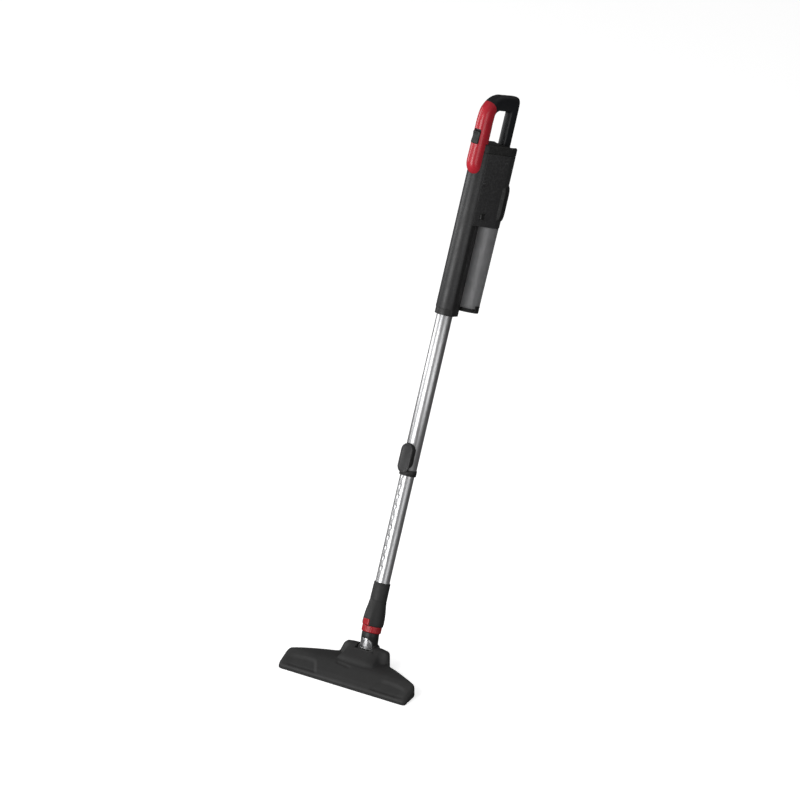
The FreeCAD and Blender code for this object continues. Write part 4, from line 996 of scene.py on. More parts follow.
@dataclass
class Handle:
    """The loop handle, its red cover and the switch in it.

    Attributes:
        stations: the loop's sections in order, each with the inner point, the outer point, the half
            width and the squareness.
        cover_last: how many stations the red cover runs over.
        cover_turn: how far round the grip the cover reaches at stations, in degrees from its front.
        cover_wall: the cover's thickness.
    """

    stations: list[tuple[float, ...]] = field(default_factory=lambda: [
        (8, 979, -20.4, 979, 11.0, 2.2), (6, 985, -26.0, 983, 13.2, 2.2),
        (4, 992, -31.8, 990, 14.6, 2.2),
        (2.2, 1001, -35.3, 999, 15.0, 2.3), (1.9, 1012, -36.0, 1010, 15.0, 2.3),
        (1.9, 1030, -35.4, 1030, 15.0, 2.3),
        (1.9, 1050, -34.8, 1050, 14.9, 2.3), (1.9, 1070, -34.3, 1071, 14.7, 2.3),
        (1.9, 1086, -33.9, 1090, 14.5, 2.3),
        (3.1, 1098.5, -31.0, 1108, 14.2, 2.4), (6.9, 1104, -23.0, 1122, 13.8, 2.5),
        (12.5, 1107.8, -9.5, 1134, 13.2, 2.6),
        (18.9, 1109, 8.0, 1140.4, 12.5, 2.7), (30, 1109, 27, 1141, 11.5, 2.9),
        (40, 1109, 44, 1141, 10.6, 3.0),
        (46.5, 1109, 59, 1141, 10.0, 3.1), (49.8, 1108.2, 69.5, 1139.6, 9.8, 3.2),
        (51.5, 1106.4, 75.6, 1134.5, 9.6, 3.2), (52, 1103, 77.8, 1126, 9.5, 3.2),
        (52, 1090, 78, 1100, 9.5, 3.3),
        (52, 1070, 78, 1072, 9.5, 3.3), (52, 1050, 78, 1050, 9.5, 3.3),
        (52, 1038, 78, 1038, 9.5, 3.3)])
    cover_last: float = 10.35
    cover_turn: tuple[Pair, ...] = ((0, 100), (1.5, 128), (3, 137), (8, 134), (9, 120), (10, 100),
                                    (10.35, 84))
    cover_wall: float = 2.5
    cover_low: float = 0.3
    switch_half: float = 8.2
    switch_low: float = 1040.0
    switch_high: float = 1065.0
    travel: float = 4.0
    front: float = 36.0
    top_of_band: float = 1042.0
    under_cover: float = 0.55

    def build(self) -> None:
        """Make the loop, the cover and the switch."""
        self.loop()
        self.cover()
        self.switch()

    def row(self, t: float) -> list[float]:
        """The section's numbers at a place between stations, by a spline through them."""
        last = len(self.stations) - 1
        i = max(0, min(last - 1, int(t)))
        s = t - i
        p0, p1 = self.stations[max(i - 1, 0)], self.stations[i]
        p2, p3 = self.stations[i + 1], self.stations[min(i + 2, last)]
        return [0.5 * (2 * b + (c - a) * s + (2 * a - 5 * b + 4 * c - d) * s * s
                       + (3 * b - 3 * c + d - a) * s ** 3) for a, b, c, d in zip(p0, p1, p2, p3)]

    def point(self, t: float, turn: float, inset: float) -> tuple[float, float, float]:
        """A point of the loop's skin.

        Args:
            t: the place along the loop, in stations.
            turn: the angle round the section, from its outer side.
            inset: how far under the skin.

        Returns:
            The point in the stick frame.
        """
        inner_y, inner_z, outer_y, outer_z, half, square = self.row(t)
        inner, outer = Vector((inner_y, inner_z)), Vector((outer_y, outer_z))
        middle, reach = (inner + outer) / 2, (outer - inner) / 2
        deep = reach.length - inset
        c, s = math.cos(turn), math.sin(turn)
        power = 2 / square
        across = math.copysign(abs(s) ** power, s) * (half - inset)
        along = math.copysign(abs(c) ** power, c) * deep
        spot = middle + reach.normalized() * along
        return across, spot.x, spot.y

    def loop(self) -> None:
        """The black loop: a little slimmer than the cover that lies over its grip."""
        mesh = Mesh("handle_loop_skin")
        count, last = 160, len(self.stations) - 1
        rings = []
        for i in range(count + 1):
            t = last * i / count
            inset = self.under_cover * smooth((self.cover_last + 0.25 - t) / 0.5)
            rings.append([self.point(t, 2 * math.pi * k / 72, inset) for k in range(72)])
        mesh.skin(rings)
        loop = mesh.finish()
        carve(loop, self.body_way(), self.window(1.2, -self.front + self.cover_wall + 4),
              block(STICK, (-7, 7), (-30, -6), (self.top_of_band + 0.5, self.switch_high)))
        settle(shade(loop, 45), Body.MAIN, LOOP_BLACK, "handle_loop")

    def body_way(self) -> bpy.types.Object:
        """A cutter the size of the body that the grip's foot wraps."""
        mesh = Mesh("cutter")
        mesh.lathe([(0, 960), (21.6, 960), (21.6, self.top_of_band), (0, self.top_of_band)],
                   steps=128)
        return mesh.finish()

    def window(self, play: float, depth: float) -> bpy.types.Object:
        """A cutter for the switch's window.

        Args:
            play: the room round the switch.
            depth: where the window ends, towards the rear.

        Returns:
            The cutter.
        """
        half = self.switch_half + play
        return block(STICK, (-half, half), (-self.front - 4, depth),
                     (self.switch_low - play, self.switch_high + self.travel + play), 2.2, "y")

    def cover(self) -> None:
        """The red cover: a skin over the grip's front and sides, open at the back."""
        mesh = Mesh("grip_cover_skin")
        rows, columns = 120, 64
        grid_out, grid_in = [], []
        for i in range(rows + 1):
            t = self.cover_low + (self.cover_last - self.cover_low) * i / rows
            reach = math.radians(sample(self.cover_turn, t)[1])
            turns = [-reach + 2 * reach * k / columns for k in range(columns + 1)]
            grid_out.append([self.point(t, a, 0.0) for a in turns])
            grid_in.append([self.point(t, a, self.cover_wall) for a in turns])
        mesh.skin([outer + list(reversed(inner)) for outer, inner in zip(grid_out, grid_in)])
        cover = soften(mesh.finish(), 0.7, 50, 3)
        carve(cover, self.window(0.4, 0), self.body_way())
        settle(shade(cover, 40), Body.MAIN, RED_GRIP, "grip_cover")

    def switch(self) -> None:
        """The rocker in the cover's window, dished for the thumb."""
        mesh = Mesh("power_switch_skin")
        front = -self.front
        side = [(self.switch_low, front + 5.4), (self.switch_low, front + 1.2),
                (self.switch_low + 1.2, front - 0.1),
                (self.switch_low + 4, front - 0.6), (self.switch_low + 8, front + 0.2),
                (self.switch_low + 13, front + 1.3), (self.switch_low + 18, front + 1.0),
                (self.switch_high - 3, front - 0.1), (self.switch_high - 0.8, front + 0.5),
                (self.switch_high, front + 1.8), (self.switch_high, front + 5.4)]
        half = self.switch_half
        sections = []
        for x in (-half, -half + 0.5, -half + 1.4, 0, half - 1.4, half - 0.5, half):
            edge = max(0.0, abs(x) - half + 1.4)
            sections.append([(x, y + (edge * 0.55 if y < front + 5 else 0), z) for z, y in side])
        mesh.skin(sections)
        switch = mesh.finish()
        for i in range(3):
            z = self.switch_low + 17.5 + 2.2 * i
            carve(switch, block(STICK, (-5, 5), (front - 3, front + 1.1), (z - 0.4, z + 0.4), 0.35,
                                "y"))
        settle(shade(switch, 35), Body.SWITCH, SWITCH, "power_switch")


# --- dust cup ---------------------------------------------------------------------------------

@dataclass
class DustCup:
    """The clear cup that plugs in under the housing, and the lid under it."""

    axis: float = 58.5
    low: float = 711.5
    high: float = 877.5
    low_radius: float = 29.3
    high_radius: float = 31.0
    wall: float = 1.8
    rim_radius: float = 27.4
    rim_high: float = 887.0
    lid_low: float = 703.5
    hinge_out: float = 32.6
    hinge_radius: float = 3.4
    knuckle_half: float = 5.6
    ear_half: float = 9.2
    inlet_radius: float = 10.4
    inlet_height: float = 796.0

    def build(self) -> None:
        """Make the cup and its lid."""
        self.cup()
        self.lid()

    def hinge_at(self) -> float:
        """The height of the lid's hinge line."""
        return self.low - 4.2

    def barrel(self, mesh: Mesh, low: float, high: float, radius: float) -> None:
        """Add a stretch of the hinge's barrel with rounded ends.

        Args:
            mesh: the mesh it goes in.
            low: where it starts, from front to rear.
            high: where it ends.
            radius: its radius.
        """
        steps = 32
        rings = []
        for y, shrink in ((low, 0.5), (low + 0.5, 0.0), (high - 0.5, 0.0), (high, 0.5)):
            ring = circle(radius - shrink, steps, (-self.hinge_out, self.hinge_at()))
            rings.append([(x, y, z) for x, z in ring])
        mesh.skin(rings)

    def cup(self) -> None:
        """The clear wall with its rim, its inlet, a moulded ring and the hinge's two ears."""
        low, high, out, top = self.low, self.high, self.low_radius, self.high_radius
        mesh = Mesh("dust_cup_skin")
        mesh.lathe([(out - self.wall, low), (out - 0.5, low), (out, low + 0.5),
                    (out + 0.55, low + 3.5),
                    (out + 0.6, low + 5.0), (out + 0.1, low + 5.6), (top - 0.1, high - 4),
                    (top, high - 1.0),
                    (top - 0.5, high), (self.rim_radius + 0.3, high), (self.rim_radius, high + 0.4),
                    (self.rim_radius, high + 3), (self.rim_radius - 0.8, high + 3),
                    (self.rim_radius - 0.8, high + 6),
                    (self.rim_radius, high + 6), (self.rim_radius, self.rim_high - 0.6),
                    (self.rim_radius - 0.6, self.rim_high),
                    (self.rim_radius - self.wall, self.rim_high),
                    (self.rim_radius - self.wall, high - 2), (top - self.wall - 0.1, high - 5)],
                   (0, self.axis), 128)
        cup = mesh.finish()
        inlet = Mesh("cutter")
        inlet.prism(circle(self.inlet_radius, 64, (0, self.inlet_height)), 20, 36, "y")
        carve(cup, inlet.finish())
        settle(shade(cup), Body.CUP, SMOKED, "dust_cup")
        ears = Mesh("cup_ears")
        for near, far in ((self.axis + self.knuckle_half + 0.4, self.axis + self.ear_half),
                          (self.axis - self.ear_half, self.axis - self.knuckle_half - 0.4)):
            self.barrel(ears, near, far, self.hinge_radius)
            web = rounded([(-self.hinge_out - 1.2, near), (-out + 0.6, near), (-out + 0.6, far),
                           (-self.hinge_out - 1.2, far)], [0.5] * 4, 3)
            ears.prism(web, low + 0.2, low + 5)
            ears.prism([(x - 0.6 if x > -31 else x, y) for x, y in web], self.hinge_at(), low + 0.4)
        settle(shade(ears.finish()), Body.CUP, SMOKED)

    def lid(self) -> None:
        """The emptying door: a stepped disc with a pull lip, its knuckle and its snap hook."""
        out, low, top = self.low_radius + 0.4, self.lid_low, self.low - 0.4
        mesh = Mesh("cup_lid_skin")
        mesh.lathe([(0, low + 0.6), (out - 9, low + 0.6), (out - 8, low + 0.2), (out - 6.5, low),
                    (out - 1.6, low),
                    (out - 0.5, low + 0.5), (out, low + 1.6), (out, low + 3.4),
                    (out - 0.5, low + 3.8),
                    (out - 0.5, low + 4.6), (out, low + 5.0), (out, top - 0.5), (out - 0.4, top),
                    (self.low_radius - 4, top), (self.low_radius - 4, top + 1.6), (0, top + 1.6)],
                   (0, self.axis), 128, hoop=False)
        self.barrel(mesh, self.axis - self.knuckle_half, self.axis + self.knuckle_half,
                    self.hinge_radius)
        web = [(-self.hinge_out, self.axis - self.knuckle_half + 0.2),
               (-out + 3, self.axis - self.knuckle_half + 0.2),
               (-out + 3, self.axis + self.knuckle_half - 0.2),
               (-self.hinge_out, self.axis + self.knuckle_half - 0.2)]
        mesh.prism(web, low + 0.3, self.low - 1.6)
        hook = [(out - 3, low + 0.1), (self.low_radius + 1.6, low + 0.1),
                (self.low_radius + 2.6, low + 1.4),
                (self.low_radius + 2.6, self.low + 5.2), (self.low_radius + 1.7, self.low + 7),
                (self.low_radius + 1.2, self.low + 6.4), (self.low_radius + 1.2, low + 4),
                (out - 3, low + 4)]
        mesh.skin([[(x, y, z) for x, z in hook] for y in
                   (self.axis - 6, self.axis - 5.6, self.axis + 5.6, self.axis + 6)])
        settle(soften(mesh.finish(), 0.25, 50, 2), Body.LID, BLACK, "cup_lid")


# --- neck -------------------------------------------------------------------------------------

@dataclass
class Neck:
    """The cuff on the lower tube, its release button and ring, and the elbow with its plate."""

    cuff_high: float = 142.0
    cuff_low: float = 53.8
    seat: float = 14.9
    bore: float = 12.6
    spigot: float = 15.6
    spigot_low: float = 40.0
    spigot_high: float = 71.0
    ring_low: float = 40.6
    ring_radius: float = 19.8
    button_low: float = 55.0
    button_high: float = 67.5
    button_half: float = 7.5
    button_face: float = 26.0
    drum_radius: float = 17.0
    drum_half: float = 18.5
    barrel: float = 17.6
    pin_radius: float = 4.0
    spring_room: float = 3.9
    pocket_end: float = 24.2

    def build(self) -> None:
        """Make the cuff, the button, the ring, the elbow and the plate."""
        self.cuff()
        self.button()
        self.ring()
        self.elbow()
        self.plate()

    def cuff_radius(self, turn: float, height: float) -> float:
        """The cuff's outer radius.

        Args:
            turn: the angle round the stick.
            height: the place up the stick.

        Returns:
            The radius.
        """
        round_wall = sample([(53.8, 20.2), (55.0, 21.1), (61, 21.6), (70, 21.3), (82, 20.2),
                             (94, 18.4),
                             (103, 17.3), (108, 17.0), (130, 16.8), (142, 16.6)], height)[1]
        swell = sample([(53.8, 2.4), (57, 3.2), (66, 3.5), (78, 3.1), (92, 1.6), (104, 0.3),
                        (108, 0.0),
                        (142, 0.0)], height)[1]
        away = math.degrees(abs((turn - 1.5 * math.pi + math.pi) % (2 * math.pi) - math.pi)) / 30
        return round_wall + swell * math.exp(-away ** 4)

    def cuff(self) -> None:
        """The cuff: a straight collar over a body that swells towards the button."""
        steps = 128
        low, high = self.cuff_low, self.cuff_high
        heights = [(low, 1.0), (low + 0.4, 0.35), (low + 1.2, 0.0)]
        heights += [(low + 1.2 + (103 - low) * i / 40, 0.0) for i in range(1, 41)]
        heights += [(104.6, 0.25), (105.1, 0.5), (105.9, 0.5), (106.4, 0.2), (107.0, 0.0),
                    (137.6, 0.0),
                    (137.9, 0.4), (138.5, 0.4), (138.8, 0.0), (high - 0.9, 0.0), (high - 0.3, 0.25),
                    (high, 0.8)]
        heights.sort()
        mesh = Mesh("neck_cuff_skin")
        rings = []
        for z, inset in heights:
            ring = []
            for i in range(steps):
                turn = 2 * math.pi * i / steps
                radius = self.cuff_radius(turn, z) - inset
                ring.append((radius * math.cos(turn), radius * math.sin(turn), z))
            rings.append(ring)
        inner = ((self.seat, high), (self.seat, 76.6), (self.bore, 76.6), (self.bore, 72.8),
                 (self.spigot + 0.4, 72.8), (self.spigot + 0.4, low))
        for radius, z in inner:
            rings.append([(x, y, z) for x, y in circle(radius, steps)])
        mesh.skin(rings, closed=True)
        cuff = mesh.finish()
        half = self.button_half + 0.4
        carve(cuff, block(STICK, (-half, half), (-27, -17.8),
                          (self.button_low - 0.4, self.button_high + 0.4), 1.8, "y"))
        settle(shade(cuff), Body.CUFF, HEAD, "neck_cuff")

    def button(self) -> None:
        """The red release button, with four ribs."""
        mesh = Mesh("release_button_skin")
        half, low, high = self.button_half, self.button_low, self.button_high
        rings = []
        for depth, inset in ((21.0, 0.0), (24.6, 0.0), (25.5, 0.35), (self.button_face, 1.3)):
            box = rounded([(-half + inset, low + inset), (half - inset, low + inset),
                           (half - inset, high - inset),
                           (-half + inset, high - inset)], [1.6] * 4, 6)
            rings.append([(x, -depth + 0.012 * x * x, z) for x, z in box])
        mesh.skin(rings)
        button = mesh.finish()
        middle = (low + high) / 2
        pocket = Mesh("cutter")
        pocket.prism(circle(self.spring_room, 32, (0, middle)), -self.pocket_end, -20, "y")
        carve(button, pocket.finish())
        for i in range(4):
            z = 57.2 + 2.7 * i
            carve(button, block(STICK, (-5.2, 5.2), (-27, -25.2), (z - 0.5, z + 0.5), 0.4, "y"))
        settle(shade(button, 35), Body.RELEASE, RED_PLASTIC, "release_button")

    def ring(self) -> None:
        """The red ring under the cuff, notched for the fingers."""
        steps, count = 192, 24
        low, high, out = self.ring_low, self.cuff_low, self.ring_radius
        mesh = Mesh("swivel_ring_skin")
        rings = []
        for z, inset, notch in ((low, 1.0, 0.0), (low + 0.5, 0.3, 0.0), (low + 1.2, 0.0, 0.0),
                                (low + 2.4, 0.0, 1.0),
                                (high - 3.6, 0.0, 1.0), (high - 2.4, 0.0, 0.0),
                                (high - 0.9, 0.0, 0.0),
                                (high - 0.2, 0.4, 0.0)):
            ring = []
            for i in range(steps):
                turn = 2 * math.pi * i / steps
                bite = 0.55 * notch * max(0.0, math.cos(turn * count)) ** 3
                radius = out - inset - bite
                ring.append((radius * math.cos(turn), radius * math.sin(turn), z))
            rings.append(ring)
        for z in (high - 0.2, low):
            rings.append([(x, y, z) for x, y in circle(self.spigot + 0.4, steps)])
        mesh.skin(rings, closed=True)
        settle(shade(mesh.finish(), 50), Body.CUFF, RED_PLASTIC, "swivel_ring")

    def elbow(self) -> None:
        """The elbow: drum, barrel and a rounded foot run into one smooth moulding, and the spigot
        stands on it as a piece of its own.
        """
        base = Vector(joint("neck_tilt")["pos_m"]) / MM
        drum = Mesh("neck_elbow_skin", ROW)
        steps = 96
        rings = []
        for x, shrink in ((-self.drum_half, 1.2), (-self.drum_half + 1.2, 0),
                          (self.drum_half - 1.2, 0),
                          (self.drum_half, 1.2)):
            ring = circle(self.drum_radius - shrink, steps, (base.y, base.z))
            rings.append([(x, y, z) for y, z in ring])
        drum.skin(rings)
        whole = drum.finish()
        foot = self.spigot_low - 6
        frame_of_elbow = elbow_matrix(foot)
        long = ((STICK @ Vector((0, 0, foot * MM))) - frame_of_elbow.translation).length / MM
        barrel = Mesh("barrel", frame_of_elbow)
        barrel.lathe([(0, 0), (self.barrel, 0), (self.barrel, long), (0, long)], steps=96)
        ball = Mesh("ball")
        arc = [(self.barrel * math.sin(math.pi * i / 24),
                foot - self.barrel * math.cos(math.pi * i / 24))
               for i in range(13)]
        ball.lathe([(max(r, 0), z) for r, z in arc] + [(self.barrel, foot + 6), (0, foot + 6)],
                   steps=96)
        carve(whole, barrel.finish(), ball.finish(), operation="UNION")
        melt = whole.modifiers.new("melt", "REMESH")
        melt.mode, melt.voxel_size = "VOXEL", 0.0008
        ease = whole.modifiers.new("ease", "SMOOTH")
        ease.factor, ease.iterations = 0.5, 14
        apply_modifiers(whole)
        pins = Mesh("cutter", ROW)
        pins.prism(circle(self.pin_radius, 48, (base.y, base.z)), -40, 40, "x")
        core = Mesh("cutter")
        core.lathe([(0, foot + 1), (self.bore, foot + 1), (self.bore, 60), (0, 60)])
        carve(whole, pins.finish(), core.finish())
        settle(shade(whole, 60), Body.NECK, BLACK, "neck_elbow")
        spigot = Mesh("neck_spigot")
        spigot.lathe([(self.bore, foot), (self.spigot, foot), (self.spigot, self.spigot_high - 6),
                      (self.spigot - 1.2, self.spigot_high - 6),
                      (self.spigot - 1.2, self.spigot_high - 4),
                      (self.spigot, self.spigot_high - 4), (self.spigot, self.spigot_high - 0.6),
                      (self.spigot - 0.6, self.spigot_high), (self.bore, self.spigot_high)])
        settle(shade(spigot.finish()), Body.NECK, BLACK)

    def plate(self) -> None:
        """The plain silver plate on the elbow's front, with a round top and one groove."""
        half, foot, middle = 14.6, 8.6, 16.6
        arch = [(half * math.cos(math.pi * i / 32), middle + half * math.sin(math.pi * i / 32))
                for i in range(33)]
        arch += [(-half, middle - (middle - foot) * i / 8) for i in range(1, 9)]
        arch += [(-half + 2 * half * i / 16, foot) for i in range(1, 17)]
        arch += [(half, foot + (middle - foot) * i / 8) for i in range(1, 8)]
        mesh = Mesh("badge_plate_skin", elbow_matrix(self.spigot_low - 6))
        rings = []
        centre = (0.0, 17.5)
        rows = ((0.0, -0.3), (0.0, 0.6), (0.25, 0.9), (0.6, 1.0), (1.7, 1.0), (2.0, 0.75),
                (2.5, 0.75), (2.8, 1.0))
        rows += tuple((2.8 + i, 1.0 + 0.03 * i) for i in range(1, 9))
        for inset, lift in rows:
            scale = 1 - inset / half
            ring = []
            for s, h in arch:
                a, b = centre[0] + (s - centre[0]) * scale, centre[1] + (h - centre[1]) * scale
                turn = a / self.barrel
                radius = self.barrel + lift
                ring.append((radius * math.sin(turn), -radius * math.cos(turn), b))
            rings.append(ring)
        mesh.skin(rings)
        settle(shade(mesh.finish(), 30), Body.NECK, SILVER, "badge_plate")


# --- floor head -------------------------------------------------------------------------------

@dataclass
class FloorHead:
    """The floor head: its cover, lip, brushes and wheels."""

    half: float = 147.0
    front: float = -45.0
    floor: float = 4.4
    end_round: float = 9.0
    front_run: float = 6.0
    front_drop: float = 5.0
    rear_round: float = 5.0
    wall: float = 2.6
    slot_half: float = 19.2
    slot_front: float = 43.0
    columns: int = 236
    rows: int = 92
    wheel_radius: float = 9.0
    wheel_x: float = 66.0
    wheel_y: float = 30.0
    bristle_count: int = 420
    pin_room: float = 4.05
    wing_scoop: float = 2.4
    middle_scoop: float = 1.5

    def build(self) -> None:
        """Make the cover, the lip, the brushes and the wheels."""
        self.cover()
        self.lip()
        self.brush("brush_front", -39.2)
        self.brush("brush_rear", -9.8)
        self.wheel("wheel_left", -self.wheel_x, Body.WHEEL_LEFT)
        self.wheel("wheel_right", self.wheel_x, Body.WHEEL_RIGHT)

    def rear_at(self, x: float) -> float:
        """Where the cover's rear edge is."""
        return sample([(0, 70.0), (44, 69.5), (49, 65.5), (53, 56), (60, 46), (82, 34.5),
                       (100, 24.5), (120, 13.5),
                       (134, 6.0), (141, 1.6), (145, -3.5), (147, -10)], abs(x))[1]

    def front_at(self, x: float) -> float:
        """Where the cover's front edge is."""
        return sample([(0, -45.0), (136, -45.0), (141, -44.2), (144.5, -41.5), (146.3, -37),
                       (147, -31)], abs(x))[1]

    def wing(self, x: float, y: float) -> float:
        """The wings' height: a long slope up from the front to a crown, then a fall to the rear."""
        along = sample([(-45, 11.6), (-30, 17.0), (-15, 22.4), (-5, 25.8), (1, 27.1), (7, 27.2),
                        (16, 26.4),
                        (36, 22.8), (52, 19.0), (70, 16.0)], y)[1]
        return along - 0.00006 * max(0.0, abs(x) - 40) ** 2

    def hump(self, x: float, y: float) -> float:
        """The height of the raised middle, whose sides widen into shoulders at the rear."""
        along = sample([(-45, 8), (-16, 20.0), (-4, 24.2), (3, 26.6), (8, 30.0), (13, 33.4),
                        (18, 35.2), (28, 37.4),
                        (40, 40.0), (50, 42.2), (57, 42.9), (64, 41.6), (70, 39.2)], y)[1]
        slim = sample([(-45, 1.12), (7, 1.06), (49, 0.92), (70, 0.92)], y)[1]
        side = min(60.0, abs(x) / slim)
        narrow = sample([(0, 0), (20, 0.5), (33, 2.6), (36.5, 3.8), (38.5, 6.2), (42, 11.6),
                         (46.5, 20), (51, 27),
                         (60, 38)], side)[1]
        wide = sample([(0, 0), (30, 0.7), (38, 1.8), (45, 3.0), (49, 6.0), (52, 11), (55, 17),
                       (59, 22),
                       (66, 27), (80, 36)], min(80.0, abs(x)))[1]
        share = max(0.0, min(1.0, (y - 30) / 26))
        share *= share * (3 - 2 * share)
        return along - narrow * (1 - share) - wide * share

    def height(self, x: float, y: float) -> float:
        """The height of the cover's top, with the middle blended into the wings.

        Args:
            x: the place across.
            y: the place from front to rear.

        Returns:
            The height over the floor.
        """
        one, other, soft = self.wing(x, y), self.hump(x, y), 2.2
        share = max(0.0, min(1.0, 0.5 + (other - one) / (2 * soft)))
        return one + (other - one) * share + soft * share * (1 - share)

    def recess(self, x: float, y: float) -> float:
        """How far the front slope is sunk, in a scoop in each wing and a short one between.

        Args:
            x: the place across.
            y: the place from front to rear.

        Returns:
            The depth.
        """
        def gate(value: float, low: float, high: float, rise: float, drop: float) -> float:
            return smooth((value - low) / rise) * smooth((high - value) / drop)

        edge = 57 + 0.55 * max(0.0, y + 40)
        crown = -10.5 - 0.0034 * (abs(x) - 92) ** 2
        broad = gate(abs(x), edge, 140, 9, 22) * gate(y, -43.0, crown + 1.5, 8, 9)
        short = gate(x, -37, 2, 6, 9) * gate(y + 0.16 * x, -13.0, -3.0, 6, 3)
        return self.wing_scoop * broad + self.middle_scoop * short

    def section(self, x: float, shrink: float) -> list[tuple[float, float, float]]:
        """One column of the cover's skin, from the front edge over the top to the rear edge.

        Args:
            x: the place across.
            shrink: how much the end's rounding takes off the height.

        Returns:
            The points.
        """
        front, rear = self.front_at(x), self.rear_at(x)
        points = [(x, front, self.floor)]
        deep = rear - front
        for k in range(self.rows + 1):
            s = k / self.rows
            y = front + deep * (0.5 - 0.5 * math.cos(math.pi * s)) ** 1.15
            run, back = min(self.front_run, deep * 0.5), self.rear_round
            near, far = y - front, rear - y
            top = self.height(x, y) - shrink
            drop_front = 0.0
            if near < run:
                drop_front = self.front_drop * (1
                                                - math.sqrt(max(0.0,
                                                                1 - ((run - near) / run) ** 2.1)))
            drop_rear = 0.0
            if far < back:
                drop_rear = back * (1 - math.sqrt(max(0.0, 1 - ((back - far) / back) ** 2)))
            z = max(self.floor + 0.5, top - drop_front - drop_rear)
            points.append((x, y, z - self.recess(x, y)))
        points.append((x, rear, self.floor))
        return points

    def cover(self) -> None:
        """The moulded cover, its slot for the elbow and the arms that carry the tilt pins."""
        mesh = Mesh("head_cover_skin", ROW)
        columns = []
        for i in range(self.columns + 1):
            s = -1 + 2 * i / self.columns
            x = self.half * (0.72 * s + 0.28 * math.sin(s * math.pi / 2))
            left = max(0.0, self.end_round - (self.half - abs(x)))
            shrink = self.end_round - math.sqrt(max(0.0, self.end_round ** 2 - left ** 2))
            columns.append(self.section(x, shrink))
        mesh.skin(columns, wrap=False, caps=False)
        for column in (columns[0], columns[-1]):
            verts = mesh.ring(column)
            mesh.face(verts)
        bmesh.ops.remove_doubles(mesh.bm, verts=mesh.bm.verts, dist=1e-6)
        cover = mesh.finish()
        thick = cover.modifiers.new("wall", "SOLIDIFY")
        thick.thickness, thick.offset, thick.use_even_offset = self.wall * MM, -1, True
        apply_modifiers(cover)
        carve(cover, block(ROW, (-self.slot_half, self.slot_half), (self.slot_front, 75), (-2, 50),
                           1.5))
        arms = []
        for side in (-1, 1):
            near = side * self.slot_half
            outline = [(self.slot_front - 2.0, 9.5), (68.6, 9.5), (68.6, 36.6), (64, 40.4),
                       (55, 41.6), (49, 41.4),
                       (self.slot_front - 2.0, 40.4)]
            arm = Mesh("arm", ROW)
            spans = sorted((near, near + side * 3))
            arm.prism(outline, spans[0], spans[1], "x")
            arms.append(arm.finish())
        face = Mesh("face", ROW)
        face.prism([(-self.slot_half - 3, self.slot_front - 3),
                    (self.slot_half + 3, self.slot_front - 3),
                    (self.slot_half + 3, self.slot_front), (-self.slot_half - 3, self.slot_front)],
                    24, 41)
        arms.append(face.finish())
        pins = Mesh("cutter", ROW)
        base = Vector(joint("neck_tilt")["pos_m"]) / MM
        pins.prism(circle(self.pin_room, 48, (base.y, base.z)), -32, 32, "x")
        cutter = pins.finish()
        for arm in arms[:2]:
            copy = cutter.copy()
            copy.data = cutter.data.copy()
            bpy.context.scene.collection.objects.link(copy)
            carve(arm, copy)
        bpy.data.objects.remove(cutter)
        join(cover, *arms)
        settle(shade(cover, 38), Body.HEAD, HEAD, "head_cover")

    def lip(self) -> None:
        """The soft strip along the foot of the cover's front, following the front's curve back at
        its ends.
        """
        mesh = Mesh("front_lip_skin", ROW)
        rings = []
        count = 120
        for i in range(count + 1):
            x = (self.half - 2.5) * (-1 + 2 * i / count)
            front = self.front_at(x)
            rings.append([(x, front + y, z) for y,
                          z in ((2.6, 0.9), (0.9, 0.8), (0.1, 1.3), (-0.35, 2.4),
                                                         (-0.3, 3.8), (0.1, 4.7), (1.2, 5.0),
                                                         (2.6, 5.0))])
        mesh.skin(rings)
        settle(shade(mesh.finish(), 50), Body.HEAD, RUBBER, "front_lip")

    def brush(self, name: str, low: float) -> None:
        """One bristle strip: a bar with a close row of fine bristles.

        Args:
            name: the CAD node that it stands for.
            low: its front edge.
        """
        half = 122.0
        mesh = Mesh(name + "_skin", ROW)
        mesh.prism([(-half, low), (half, low), (half, low + 4), (-half, low + 4)], 3.0, 5.0)
        for i in range(self.bristle_count):
            wave = math.sin(i * 12.9898) * 43758.5453
            chance = wave - math.floor(wave)
            x = -half + 1 + (2 * half - 2) * (i + 0.5) / self.bristle_count
            y = low + 1.0 + 2.0 * chance
            lean = 0.9 * (chance - 0.5)
            rings = []
            for z, radius, move in ((3.1, 0.26, 0.0), (1.6, 0.22, 0.4), (0.45, 0.12, 1.0)):
                rings.append([(x + lean * move + radius * math.cos(2 * math.pi * k / 5),
                               y + 0.6 * lean * move + radius * math.sin(2 * math.pi * k / 5), z)
                               for k in range(5)])
            mesh.skin(rings)
        settle(shade(mesh.finish()), Body.HEAD, BRISTLE, name)

    def wheel(self, name: str, x: float, body: Body) -> None:
        """A small wheel with a ribbed tread.

        Args:
            name: the CAD node that it stands for.
            x: the middle of its width.
            body: the body it rides on.
        """
        steps = 96
        mesh = Mesh(name + "_skin", ROW)
        rings = []
        profile = ((2.05, -4.0), (5.6, -4.0), (6.0, -3.3), (7.2, -3.3), (7.5, -4.0), (8.4, -4.0),
                   (8.9, -3.4), (9.0, -2.6),
                   (9.0, 2.6), (8.9, 3.4), (8.4, 4.0), (7.5, 4.0), (7.2, 3.3), (6.0, 3.3),
                   (5.6, 4.0), (2.05, 4.0))
        for radius, out in profile:
            ring = []
            for i in range(steps):
                turn = 2 * math.pi * i / steps
                bite = 0.3 if radius > 8.95 and i % 8 == 0 else 0.0
                ring.append((x + out, self.wheel_y + (radius - bite) * math.cos(turn),
                             self.wheel_radius + (radius - bite) * math.sin(turn)))
            rings.append(ring)
        mesh.skin(rings, closed=True)
        settle(shade(mesh.finish(), 35), body, RUBBER, name)


# --- studio -----------------------------------------------------------------------------------

